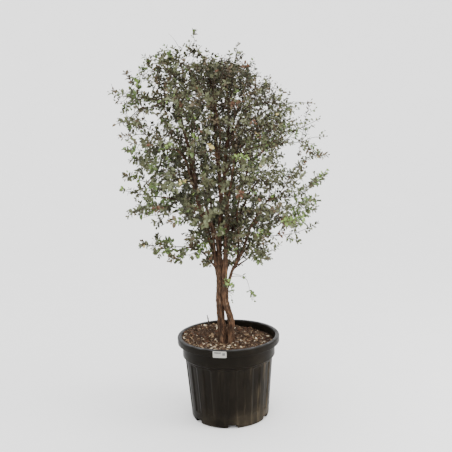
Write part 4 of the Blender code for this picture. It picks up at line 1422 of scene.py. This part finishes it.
def spread_ends(settings):
    """Places for twig ends all through the crown, and the tier that each belongs to."""
    rng = random.Random("ends")
    ends = np.zeros((DARTS, 3))
    tiers = []
    for mass in MASSES:
        for share in SPRAY_SHARES:
            ends[len(tiers)] = mass_centre(mass).lerp(polar(*mass.spray), share) + scatter_vector(rng, 0.008)
            tiers.append(tier_of(mass))
    low, high = CAD_BOX
    reaches = (low.x, high.x), (low.y, high.y), (CORE_FOOT, high.z)
    for _ in range(DARTS):
        point = Vector([rng.uniform(*reach) for reach in reaches])
        mass = in_crown(point, settings.inset)
        if mass is None or trimmed(point):
            continue
        apart = settings.spacing / mass.fullness ** 0.8
        apart *= 0.84 + settings.thinning * sideways(point) + 0.26 * noise.noise(point * 8.0)
        apart *= 1 + settings.clearing * in_front(point) - 0.12 * smoothstep(point.y / 0.15)
        apart *= 1 + thinness(point)
        placed = ends[:len(tiers)]
        near = placed[np.abs(placed - point).max(axis=1) < apart]
        if not len(near) or np.linalg.norm(near - point, axis=1).min() > apart:
            ends[len(tiers)] = point
            tiers.append(tier_of(mass))
    return ends[:len(tiers)], tiers


def limb_starts():
    """Points on the boughs that twigs may grow from, with heading, extra way and thickness."""
    starts = []
    for row in BOUGHS:
        path, radii = full_limbs()[row.name]
        for index in range(6, len(path) - 1, 3):
            point = path[index]
            if point.z > CORE_FOOT:
                starts.append((*point, *heading_at(path, index), THICK_COST * radii[index], radii[index]))
    return np.array(starts)


def join_up(starts, ends):
    """Join each end to the limbs, or to an end that is joined already, the cheapest way first."""
    first = len(starts)
    points = np.vstack((starts[:, :3], ends))
    headings = np.vstack((starts[:, 3:6], np.zeros_like(ends)))
    ways = np.concatenate((starts[:, 6], np.zeros(len(ends))))
    wished = np.array([(outward(Vector(end)) + UP * 0.55).normalized() for end in ends])
    parents = np.full(len(points), -1)
    cheapest = np.full(len(ends), np.inf)
    source = np.zeros(len(ends), int)
    waiting = np.ones(len(ends), bool)
    joined = []
    newest = range(first)
    while waiting.any():
        for node in newest:
            span = ends - points[node]
            far = np.linalg.norm(span, axis=1) + MERGE
            turn = 1 - span @ headings[node] / far
            astray = 1 - (span * wished).sum(axis=1) / far
            price = far * (1 + TURN_COST * turn + ASTRAY_COST * astray) + PATH_COST * (ways[node] + far)
            better = waiting & (price < cheapest)
            cheapest[better] = price[better]
            source[better] = node
        pick = int(np.argmin(np.where(waiting, cheapest, np.inf)))
        node = first + pick
        parents[node] = source[pick]
        span = points[node] - points[parents[node]]
        ways[node] = ways[parents[node]] + np.linalg.norm(span)
        headings[node] = span / np.linalg.norm(span)
        waiting[pick] = False
        joined.append(node)
        newest = (node,)
    return points, parents, joined


def fork_plan(parents, joined):
    """How many ends each point carries, and what grows on from it, the fullest first."""
    carried = defaultdict(int)
    forks = defaultdict(list)
    for node in reversed(joined):
        carried[node] = max(1, carried[node])
        carried[parents[node]] += carried[node]
        forks[parents[node]].append(node)
    for onward in forks.values():
        onward.sort(key=lambda node: -carried[node])
    return carried, forks


def straightened(points, parents, joined, forks):
    """The points moved so that each twig runs on more straightly past its forks."""
    rounds, share = STRAIGHTEN
    for _ in range(rounds):
        moved = points.copy()
        for node in joined:
            if forks[node]:
                middle = (points[parents[node]] + points[forks[node][0]]) / 2
                moved[node] += share * (middle - points[node])
        points = moved
    return points


def twig_rows(forks, first):
    """Twigs as rows of points, each from a limb or fork to an end."""
    waiting = [(limb, node) for limb in range(first) for node in forks[limb]]
    rows = []
    while waiting:
        foot, node = waiting.pop()
        row = [foot, node]
        while forks[node]:
            waiting += [(node, fork) for fork in forks[node][1:]]
            node = forks[node][0]
            row.append(node)
        rows.append(row)
    return rows


def grow_shoot(point, heading, aim, long, leeway):
    """Points of a shoot that bends from one direction to another and stops outside the foliage."""
    steps = max(3, round(long / STEP))
    path = []
    for index in range(steps):
        heading = heading.lerp(aim, 0.30).normalized()
        point = point + heading * (long / steps)
        within = all(a < value < b for a, value, b in zip(CAD_BOX[0], point, CAD_BOX[1]))
        if index > 1 and not (within and in_crown(point, -leeway)):
            break
        path.append(point)
    return path


def path_length(path):
    return sum((b - a).length for a, b in zip(path, path[1:]))


def leaf_scale(point, rng):
    """Leaves are smaller at the top and on the right."""
    right = smoothstep((point.x + 0.30) / 0.50)
    up = smoothstep((point.z - 0.95) / 0.60)
    return (1.12 - 0.17 * right - 0.18 * up) * (0.80 + 0.20 * outerness(point)) * rng.uniform(0.85, 1.15)


def spurs_along(tier, path, radii, settings, rng, spacing=1.0, thickest=0.0032):
    """Short leafy side shoots, more of them towards the end of a twig."""
    spurs = []
    along = 0.5 * settings.spur_spacing
    for index in range(len(path) - 2, 0, -1):
        along += (path[index + 1] - path[index]).length
        if along < spacing * settings.spur_spacing * rng.uniform(0.6, 1.6) or radii[index] > thickest:
            continue
        along = 0.0
        ahead = heading_at(path, index)
        light = outward(path[index]) * 0.5 + UP * 0.35
        sides = [ahead.cross(scatter_vector(rng, 1.0)).normalized() for _ in range(3)]
        side = max(sides, key=lambda way: way.dot(light) + rng.uniform(0, 0.7))
        heading = (ahead * rng.uniform(0.5, 1.0) + side).normalized()
        aim = (heading + light * 0.6 + scatter_vector(rng, 0.2)).normalized()
        long = settings.spur * rng.uniform(0.3, 1.0)
        grown = [path[index]] + grow_shoot(path[index], heading, aim, long, SPUR_LEEWAY)
        thickness = tapering(grown, min(0.8 * radii[index], settings.tip), SHOOT_TIP)
        spurs.append(Shoot(tier, grown, thickness, path_length(grown), True, spray_tint(grown[-1], rng),
                           leaf_scale(grown[-1], rng)))
    return spurs


def swaying(knots, radii, spacing):
    """A smooth twig through its forks that sways between them, and its thickness."""
    count = max(len(knots), round(path_length(knots) / spacing))
    path = smooth_path(knots, count)
    places = np.linspace(0, len(knots) - 1, count + 1)
    for index in range(1, count):
        swing = abs(math.sin(math.pi * places[index]))
        path[index] += wobble(path[index] * SWAYS) * SWING * swing
    return path, list(np.interp(places, range(len(knots)), radii))


def end_shoot(path, settings, rng):
    """The leafy shoot at the end of a twig; some stray out of the crown."""
    end = path[-1]
    heading = (end - path[-2]).normalized()
    aim = (heading * 0.7 + outward(end) * 0.45 + UP * 0.22 + scatter_vector(rng, 0.22)).normalized()
    straying = rng.random() < settings.straying * sideways(end)
    reach = settings.shoot * rng.uniform(0.45, 1.0) * (1.4 if straying else 1.0)
    return grow_shoot(end, heading, aim, reach, STRAY_LEEWAY if straying else rng.uniform(*SHOOT_LEEWAY))


def grow_twigs(settings):
    """All twigs with their end shoots and side shoots."""
    starts = limb_starts()
    ends, tiers = spread_ends(settings)
    points, parents, joined = join_up(starts, ends)
    carried, forks = fork_plan(parents, joined)
    points = straightened(points, parents, joined, forks)
    shoots = []
    for row in twig_rows(forks, len(starts)):
        last = row[-1] - len(starts)
        tier = tiers[last]
        rng = seeded_by("twig c", Vector(ends[last]))
        radii = [settings.tip * carried[node] ** (1 / settings.branching) for node in row]
        # a twig widens a little into its foot, but stays thinner than the limb that it grows from
        radii[0] = 1.08 * radii[1]
        if row[0] < len(starts):
            radii[0] = min(radii[0], 0.8 * starts[row[0], 7])
            radii = [min(radius, radii[0]) for radius in radii]
        path, thickness = swaying([Vector(points[node]) for node in row], radii, TWIG_STEP)
        grown = end_shoot(path, settings, rng)
        thickness += tapering(path[-1:] + grown, settings.tip, SHOOT_TIP)[1:]
        leafy = path_length(path[-1:] + grown) + rng.uniform(0.01, 0.06)
        path += grown
        shoots.append(Shoot(tier, path, thickness, min(leafy, path_length(path)), False,
                            spray_tint(path[-1], rng), leaf_scale(path[-1], rng)))
        shoots += spurs_along(tier, path, thickness, settings, rng)
    for row in BOUGHS:
        if row.goal in MASS_AT:
            path, radii = full_limbs()[row.name]
            first = next(index for index, point in enumerate(path) if point.z > CORE_FOOT)
            first = max(first, len(path) // 4)
            shoots += spurs_along(tier_of(MASS_AT[row.goal]), path[first:], radii[first:], settings,
                                  random.Random(row.name), spacing=0.75, thickest=0.0058)
    return shoots


# Thin branches and small shoots that stand apart, in millimetres: where each starts and goes, how
# far back its leaves reach, their colour and relative size, and the radius of its foot
Stray = namedtuple("Stray", "points leafy tint size thick", defaults=(1.7,))
STRAYS = (
    Stray(((-2, -26, 632), (-6, -43, 660), (-12, -52, 690)), 45, "fresh", 0.85),
    Stray(((4, -26, 628), (10, -45, 655), (12, -55, 688)), 50, "bright", 0.95),
    Stray(((6, -26, 622), (19, -43, 640), (28, -52, 664)), 45, "fresh", 0.95),
    Stray(((6, -24, 618), (18, -36, 622), (27, -44, 628)), 30, "fresh", 0.8),
    Stray(((-4, -28, 655), (2, -46, 680), (0, -52, 708)), 40, "fresh", 0.8),
    Stray(((4, -24, 606), (19, -34, 610), (22, -40, 582)), 18, "sage", 0.85),
    Stray(((60, -31, 702), (74, -40, 708), (86, -46, 704)), 22, "fresh", 0.85),
    Stray(((24, -20, 697), (56, -30, 704), (78, -32, 696), (95, -34, 686), (105, -34, 655),
           (109, -34, 626), (124, -34, 602), (131, -34, 583)), 64, "fresh", 1.0, 2.0),
    Stray(((-3, -16, 690), (3, -14, 726), (11, -18, 762), (24, -26, 808), (34, -34, 850),
           (44, -40, 892)), 50, "olive", 0.9, 3.2),
    Stray(((36, -18, 745), (58, -28, 772), (88, -40, 812), (104, -50, 850), (120, -58, 900)),
           60, "dark", 0.9, 3.0),
    Stray(((30, -20, 735), (72, -24, 764), (110, -26, 792), (134, -30, 822), (158, -34, 866)),
           60, "olive", 0.9, 3.0),
    Stray(((46, -20, 750), (82, -30, 775), (119, -38, 801), (152, -44, 812), (187, -48, 818),
           (224, -52, 834), (262, -54, 864)), 90, "sage", 0.9, 2.8),
    Stray(((-64, -310, 1335), (-61, -325, 1343), (-58, -336, 1345)), 6, "yellow", 2.2),
    Stray(((-250, -50, 1552), (-301, -100, 1549), (-368, -80, 1560), (-427, -50, 1567),
           (-484, -30, 1576), (-507, -20, 1628)), 0, "olive", 0.6, 2.8),
    Stray(((-427, -50, 1567), (-453, -50, 1545), (-487, -40, 1550)), 26, "bronze", 0.9),
    Stray(((-130, -10, 1115), (-133, -55, 1200), (-133, -95, 1290), (-125, -130, 1398),
           (-125, -140, 1452), (-136, -140, 1496), (-165, -130, 1529), (-196, -120, 1572)),
           50, "olive", 0.9, 5.2),
    Stray(((-127, -125, 1385), (-148, -160, 1425), (-198, -190, 1421), (-224, -200, 1408),
           (-263, -200, 1388), (-302, -190, 1368), (-354, -170, 1340)), 40, "olive", 0.9, 3.0),
    Stray(((-133, -100, 1300), (-145, -140, 1318), (-176, -180, 1310), (-203, -200, 1285),
           (-228, -210, 1292)), 30, "dark", 0.9, 2.8),
    Stray(((-208, -3, 1540), (-235, -90, 1538), (-260, -150, 1531), (-308, -170, 1515),
           (-356, -150, 1513), (-390, -120, 1492), (-422, -100, 1468), (-468, -70, 1450),
           (-497, -50, 1439)), 110, "bronze", 0.9, 3.2),
    Stray(((-108, 1, 986), (-127, -40, 989), (-164, -90, 1012), (-217, -120, 1036), (-262, -120, 1026),
           (-331, -110, 1023), (-386, -100, 1009)), 0, "olive", 0.9, 3.4),
    Stray(((-250, -118, 1027), (-276, -110, 985), (-311, -110, 965)), 30, "fresh", 0.9),
    Stray(((-296, -200, 1242), (-334, -220, 1194), (-368, -220, 1152), (-399, -200, 1106)),
           30, "olive", 0.9, 2.6),
    Stray(((23, -60, 1168), (26, -100, 1278), (45, -130, 1384), (55, -140, 1471), (57, -140, 1550),
           (48, -120, 1629)), 40, "dark", 0.9, 4.4),
    Stray(((-67, 9, 847), (-95, -10, 862), (-127, -20, 860)), 60, "bright", 0.9),
    Stray(((-72, 8, 860), (-100, -20, 895), (-143, -30, 925)), 75, "fresh", 0.9),
    Stray(((-91, -8, 797), (-105, -15, 822), (-122, -20, 842)), 45, "fresh", 0.95),
    Stray(((-54, 0, 777), (-75, -20, 800), (-92, -30, 832)), 50, "bronze", 0.9),
    Stray(((-75, -5, 780), (-98, -15, 777), (-120, -20, 768)), 45, "bronze", 0.9),
    Stray(((-85, 6, 900), (-105, -30, 905), (-128, -50, 900)), 45, "olive", 0.95),
    Stray(((-59, -7, 894), (-85, -30, 915), (-112, -50, 950)), 60, "dark", 0.95),
    Stray(((-121, -12, 828), (-138, -20, 852), (-150, -30, 885)), 50, "olive", 0.9),
    Stray(((-61, -1, 757), (-80, -20, 778), (-86, -30, 805)), 35, "olive", 0.9),
    Stray(((-171, -10, 1644), (-183, -10, 1699), (-199, -10, 1749), (-216, -10, 1785)),
           110, "olive", 1.05, 2.2),
    Stray(((-183, -10, 1699), (-158, -10, 1734), (-148, -10, 1769), (-152, -10, 1787)),
           60, "sage", 0.95),
    Stray(((-187, -10, 1712), (-222, -10, 1740), (-259, -10, 1755), (-286, -10, 1755)),
           80, "olive", 1.05),
    Stray(((-179, -10, 1681), (-215, -10, 1704), (-246, -10, 1723)), 55, "fresh", 0.95),
    Stray(((-174, -10, 1671), (-141, -10, 1702), (-122, -10, 1733), (-125, -10, 1760)),
           65, "olive", 0.9),
    Stray(((-195, -10, 1735), (-180, -10, 1766), (-165, -10, 1792)), 40, "sage", 0.95),
    Stray(((-199, -10, 1744), (-235, -10, 1772), (-253, -10, 1790)), 45, "fresh", 0.95),
    Stray(((-184, -10, 1770), (-206, -10, 1813), (-233, -10, 1845)), 0, "olive", 0.6),
)
SNAP = 0.060  # a stray's foot moves to the nearest twig within this distance
YOUNG = 0.0025  # a stray thinner than this at its foot is this year's growth
STRAY_TIP = 0.0004


def stray_shoots(shoots):
    """The shoots of STRAYS, each grown on from the nearest twig, limb or earlier stray."""
    hosts = [point for shoot in shoots if not shoot.young for point in shoot.path]
    hosts += [point for path, _ in full_limbs().values() for point in path]
    strays = []
    for row in STRAYS:
        knots = [from_mm(point) for point in row.points]
        nearest = min(hosts, key=lambda point: (point - knots[0]).length_squared)
        if (nearest - knots[0]).length < SNAP:
            knots[0] = nearest
        path = smooth_path(knots, 4 * (len(knots) - 1))
        hosts += path
        tier = "low" if knots[0].z < 1.0 else "fourth"
        thick = row.thick / 1000
        radii = tapering(path, thick, STRAY_TIP + 0.32 * (thick - 0.0017))
        strays.append(Shoot(tier, path, radii, row.leafy / 1000, thick < YOUNG, TINTS.index(row.tint),
                            row.size))
    return strays


@lru_cache
def crown():
    """Every twig and shoot of the crown."""
    shoots = grow_twigs(bpy.context.scene.shrub_twigs)
    return shoots + stray_shoots(shoots)


TWIG_SIDES = ((0.0016, 4), (0.0026, 5), (1, 7))  # a foot thinner than this, and the twig's sides


def make_twigs(tier, materials):
    """The twigs of one tier."""
    pile = Pile()
    for shoot in crown():
        if shoot.tier == tier:
            sides = next(sides for thickest, sides in TWIG_SIDES if shoot.radii[0] < thickest)
            sweep(pile, shoot.path, shoot.radii, 3 if shoot.young else sides, tint=int(shoot.young))
    return settle(pile.piece("twigs_" + tier, materials), "bough_bark")


# ---------------- leaves

TINTS = ("dark", "olive", "sage", "bronze", "fresh", "bright", "copper", "yellow")
ODD_LEAVES = 0.10  # share of the leaves with another colour than their spray
ODD_WEIGHTS = (5, 6, 3, 3, 1, 0.3, 0.9, 0.15)
GREEN_SPOTS = ((-0.33, 1.06, 0.075), (-0.28, 1.31, 0.060), (0.36, 1.03, 0.075), (-0.14, 1.45, 0.045),
               (0.145, 1.28, 0.050), (0.42, 1.21, 0.050), (-0.45, 1.15, 0.045), (-0.13, 0.855, 0.040),
               (0.20, 1.35, 0.045), (0.37, 1.40, 0.055), (-0.39, 1.69, 0.060), (-0.43, 1.63, 0.050))
COPPER_SPOTS = ((0.125, 1.65, 0.060), (0.152, 1.38, 0.045), (0.27, 0.957, 0.060), (-0.066, 0.953, 0.045))


def near_spot(point, spots):
    """1 where new or coppery leaves stand together, 0 away from there."""
    return max(spotted(point, *spot) for spot in spots)


def spray_tint(point, rng):
    """The colour of a spray: darker inside the crown, greener at its tips, coppery in clumps, and paler at
    the crown's rim and sides, partly young growth and partly a painted glow of backlight.
    """
    clump = noise.noise(point * 6.5 + Vector((3.1, 0, 0)))
    green = near_spot(point, GREEN_SPOTS)
    side = sideways(point)
    # rim is 1 along the crown's outline, seen from the front: the sage and fresh weights grow with it and
    # with side, a painted glow of backlight at the crown's edges.
    rim = math.hypot((point.x - CROWN_MIDDLE.x) / CROWN_HALF.x, (point.z - CROWN_MIDDLE.z) / CROWN_HALF.z)
    rim = smoothstep((rim - 0.72) / 0.24)
    low = 1 - smoothstep((point.z - 0.85) / 0.20)
    weights = (
        (5.6 * (1 - side) + 0.5) * (1 - 0.8 * rim) * (1 - 0.7 * low),
        4.6 * (1 - 0.4 * rim),
        # Paler sprays towards the outline: painted backlight glow, with the young growth at the tips.
        0.5 + 2.4 * side + 1.8 * rim,
        0.7 + 1.2 * smoothstep(-clump * 2) + 1.6 * smoothstep((point.z - 1.42) / 0.2),
        0.12 + 0.6 * outerness(point) + 1.4 * rim + 0.6 * side * smoothstep(0.2 - 2 * point.x) + 7.0 * green,
        0.02 + 0.25 * side * smoothstep(0.3 + clump * 2) + 2.0 * green,
        0.05 + 0.5 * smoothstep(clump * 3 - 0.6) + 2.5 * near_spot(point, COPPER_SPOTS),
        0.01,
    )
    return rng.choices(range(len(TINTS)), weights)[0]


def leaf_blank(settings, curl=0.14):
    """One oval leaf along +X from its stalk at the origin, folded a little along its rib."""
    leaf = start("grid", x_subdivisions=4, y_subdivisions=2, size=1.0)
    for vert in leaf.data.vertices:
        along = vert.co.x + 0.5
        half = 0.5 * settings.width * math.sin(math.pi * along ** 0.88) ** 0.72 if 0 < along < 1 else 0.0
        side = 2 * vert.co.y * half
        vert.co = (along, side, 0.32 * abs(side) - curl * along * along)
    bpy.ops.object.mode_set(mode="EDIT")
    bpy.ops.mesh.select_all(action="SELECT")
    bpy.ops.mesh.remove_doubles(threshold=0.001)
    bpy.ops.object.mode_set(mode="OBJECT")
    return blank(leaf)


def leaf_places(shoot, settings, rng):
    """Where each leaf of a shoot sits: pairs that cross, smaller at the tip, thinner lower down."""
    path = np.array(shoot.path)
    lengths = np.concatenate(([0.0], np.cumsum(np.linalg.norm(np.diff(path, axis=0), axis=1))))

    def at(distance):
        return Vector([np.interp(distance, lengths, path[:, axis]) for axis in range(3)])

    turn = rng.uniform(0, math.tau)
    back = 0.0
    while back < shoot.leafy:
        where = lengths[-1] - back
        place = at(where)
        ahead = (at(where + 0.004) - at(where - 0.004)).normalized()
        side = square_to(ahead, turn)
        age = back / max(shoot.leafy, STEP)
        size = min(1.0, 0.55 + back / 0.030) * rng.uniform(0.78, 1.12) * shoot.size
        opening = 0.35 + min(back / 0.02, 1.0) * 0.65
        for way in (side, -side):
            if rng.random() < 0.94 - 0.30 * age:
                along = ahead * (1.15 - 0.6 * opening) + way * opening + scatter_vector(rng, 0.16)
                yield place, along.normalized(), size
        turn += math.radians(90 + rng.gauss(0, 14))
        back += settings.pair_spacing * rng.uniform(0.75, 1.30) / shoot.size


def make_leaves(settings, tier, materials):
    """The leaves of one tier, in pairs along their shoots."""
    points, faces = leaf_blank(settings)
    pile = Pile()
    for shoot in crown():
        if shoot.tier != tier or shoot.leafy == 0:
            continue
        rng = seeded_by("leaves", shoot.path[-1])
        for place, along, size in leaf_places(shoot, settings, rng):
            face_to = outward(place) * 0.45 + UP * 0.75 + scatter_vector(rng, 0.50)
            across = face_to.cross(along).normalized()
            normal = along.cross(across)
            basis = np.column_stack((along, across, normal)) * (settings.leaf * size)
            tint = shoot.tint
            if rng.random() < ODD_LEAVES:
                tint = rng.choices(range(len(TINTS)), ODD_WEIGHTS)[0]
            pile.put(points, faces, basis, place, tint)
    leaves = pile.piece("leaves_" + tier, materials)
    masses = [mass.name for mass in MASSES if tier_of(mass) == tier]
    return settle(leaves, "foliage", *masses)


# ---------------- stage

FLOOR_RADIUS = 9.0
FLOOR_RISE = 4.5
FLOOR_DROP = 0.0004  # so that the floor and the pot's underside don't share a plane


def make_floor(settings):
    """A round pale floor that curves up into an even wall, far from the plant on all sides."""
    profile = [(radius, -FLOOR_DROP) for radius in (0.0, 1.0, 3.0)]
    profile += arc((FLOOR_RADIUS - FLOOR_RISE, FLOOR_RISE - FLOOR_DROP), FLOOR_RISE, -90, -10, 20)
    floor = turned("floor", profile, 96)
    face_outwards(floor)
    finish = Finish("pale_floor", 0.9, Specular_IOR_Level=0.1)
    speckle = finish.noise(finish.place(), 3.0, 3.0)
    darker = [0.985 * channel for channel in settings.floor]
    finish.feed("Base Color", finish.mix(speckle.between(0.2, 0.8), darker, settings.floor))
    floor.data.materials.append(finish.material)
    floor.data.shade_smooth()
    if floor.data.polygons[0].normal.z < 0:
        floor.data.flip_normals()


def add_light(name, place, target, size, power, tint=(1.0, 1.0, 1.0)):
    """A large soft light that faces a target."""
    light = bpy.data.lights.new(name, "AREA")
    light.shape = "RECTANGLE"
    light.size, light.size_y = size
    light.energy = power
    light.color = tint
    ob = bpy.data.objects.new(name, light)
    bpy.context.scene.collection.objects.link(ob)
    ob.location = place
    ob.rotation_euler = (Vector(target) - Vector(place)).to_track_quat("-Z", "Y").to_euler()


def add_camera(settings):
    """A camera in front of the plant that looks down a little and leans a little to one side."""
    camera = bpy.data.cameras.new("camera")
    camera.lens = settings.focal_length
    camera.sensor_width = 36.0
    ob = bpy.data.objects.new("camera", camera)
    bpy.context.scene.collection.objects.link(ob)
    pitch, roll = settings.pitch, settings.roll
    right, upright = Vector((1, 0, 0)), Vector((0, math.sin(pitch), math.cos(pitch)))
    across = right * math.cos(roll) + upright * math.sin(roll)
    above = upright * math.cos(roll) - right * math.sin(roll)
    turn = Matrix((across, above, across.cross(above))).transposed()
    place = Matrix.Translation((settings.sideways, -settings.distance, settings.height))
    ob.matrix_world = place @ turn.to_4x4()
    bpy.context.scene.camera = ob


def make_stage(settings):
    """The floor, an even pale sky, two soft lights and the camera."""
    make_floor(settings)
    world = bpy.data.worlds.new("pale_sky")
    world.use_nodes = True
    background = world.node_tree.nodes["Background"]
    background.inputs["Color"].default_value = (1.0, 1.0, 1.0, 1.0)
    background.inputs["Strength"].default_value = settings.sky
    bpy.context.scene.world = world
    middle = (0.0, 0.0, 0.9)
    add_light("key_light", (3.2, -0.9, 2.0), middle, (1.6, 2.4), settings.key, (1.0, 0.985, 0.96))
    add_light("fill_light", (-1.4, -3.6, 3.2), middle, (2.0, 2.0), settings.fill)
    add_camera(settings)


# ---------------- operators, panel and registration

class Maker:
    """What every operator shares: it can be undone and done again."""
    bl_options = {"REGISTER", "UNDO"}


class SHRUB_OT_stage(Maker, bpy.types.Operator):
    """Add the pale floor, the soft lights and the camera"""
    bl_idname = "shrub.stage"
    bl_label = "Stage"

    def execute(self, context):
        make_stage(context.scene.shrub_stage)
        return {"FINISHED"}


class SHRUB_OT_pot(Maker, bpy.types.Operator):
    """Turn the pot, press its flutes and cut its drain notches"""
    bl_idname = "shrub.pot"
    bl_label = "Pot"

    def execute(self, context):
        make_pot(context.scene.shrub_pot)
        return {"FINISHED"}


class SHRUB_OT_label(Maker, bpy.types.Operator):
    """Stick the plain label on the lip"""
    bl_idname = "shrub.label"
    bl_label = "Label"

    def execute(self, context):
        make_label(context.scene.shrub_pot)
        return {"FINISHED"}


class SHRUB_OT_mix(Maker, bpy.types.Operator):
    """Fill the pot with mix, and lay chips, dry leaves and a dead stick on it"""
    bl_idname = "shrub.mix"
    bl_label = "Potting mix"

    def execute(self, context):
        settings = context.scene.shrub_mix
        make_mix_bed(settings)
        scatter_chips(settings)
        lay_litter(settings, context.scene.shrub_leaves)
        return {"FINISHED"}


class SHRUB_OT_stems(Maker, bpy.types.Operator):
    """Cover both stems with ridged bark that peels in strips"""
    bl_idname = "shrub.stems"
    bl_label = "Stems"

    def execute(self, context):
        settings = context.scene.shrub_limbs
        for row, warmth in zip(STEMS, (0.8, 1.9)):
            make_limb(row.name, settings, bark(settings, row.name + "_bark", warmth), "stem_bark", 0.22)
        peel_flakes(settings, bark(settings, "flake_bark", 1.8))
        return {"FINISHED"}


class SHRUB_OT_boughs(Maker, bpy.types.Operator):
    """Cover the boughs with bark and run them on into the crown"""
    bl_idname = "shrub.boughs"
    bl_label = "Boughs"

    def execute(self, context):
        settings = context.scene.shrub_limbs
        material = bark(settings, "bough_bark", 0.5)
        for row in BOUGHS:
            make_limb(row.name, settings, material, "bough_bark", 0.16)
        return {"FINISHED"}


class SHRUB_OT_twigs(Maker, bpy.types.Operator):
    """Grow twigs from the limbs to the ends of every foliage mass"""
    bl_idname = "shrub.twigs"
    bl_label = "Twigs"

    def execute(self, context):
        settings = context.scene.shrub_twigs
        materials = [twig_bark("twig_bark", settings.bark), twig_bark("young_bark", settings.young)]
        for tier in TIERS:
            make_twigs(tier, materials)
        return {"FINISHED"}


class SHRUB_OT_leaves(Maker, bpy.types.Operator):
    """Set pairs of leaves along every shoot, coloured by spray"""
    bl_idname = "shrub.leaves"
    bl_label = "Leaves"

    def execute(self, context):
        settings = context.scene.shrub_leaves
        materials = [leaf_skin(tint, getattr(settings, tint)) for tint in TINTS]
        for tier in TIERS:
            make_leaves(settings, tier, materials)
        return {"FINISHED"}


class SHRUB_PT_panel(bpy.types.Panel):
    """Sizes, colours and makers of the potted shrub"""
    bl_label = "Potted shrub"
    bl_idname = "SHRUB_PT_panel"
    bl_space_type = "VIEW_3D"
    bl_region_type = "UI"
    bl_category = "Shrub"

    def draw(self, context):
        for setting, _, makers in GROUPS:
            box = self.layout.box()
            group = getattr(context.scene, setting)
            for name in group.bl_rna.properties.keys():
                if name not in ("rna_type", "name"):
                    box.prop(group, name)
            for maker in makers:
                box.operator(maker.bl_idname)


GROUPS = (
    ("shrub_stage", SHRUB_PG_stage, (SHRUB_OT_stage,)),
    ("shrub_pot", SHRUB_PG_pot, (SHRUB_OT_pot, SHRUB_OT_label)),
    ("shrub_mix", SHRUB_PG_mix, (SHRUB_OT_mix,)),
    ("shrub_limbs", SHRUB_PG_limbs, (SHRUB_OT_stems, SHRUB_OT_boughs)),
    ("shrub_twigs", SHRUB_PG_twigs, (SHRUB_OT_twigs,)),
    ("shrub_leaves", SHRUB_PG_leaves, (SHRUB_OT_leaves,)),
)


def register():
    for setting, group, makers in GROUPS:
        bpy.utils.register_class(group)
        setattr(bpy.types.Scene, setting, PointerProperty(type=group))
        for maker in makers:
            bpy.utils.register_class(maker)
    bpy.utils.register_class(SHRUB_PT_panel)


def unregister():
    bpy.utils.unregister_class(SHRUB_PT_panel)
    for setting, group, makers in reversed(GROUPS):
        for maker in makers:
            bpy.utils.unregister_class(maker)
        delattr(bpy.types.Scene, setting)
        bpy.utils.unregister_class(group)


def main():
    register()
    bpy.ops.shrub.stage()
    bpy.ops.shrub.pot()
    bpy.ops.shrub.label()
    bpy.ops.shrub.mix()
    bpy.ops.shrub.stems()
    bpy.ops.shrub.boughs()
    bpy.ops.shrub.twigs()
    bpy.ops.shrub.leaves()


if __name__ == "__main__":
    main()
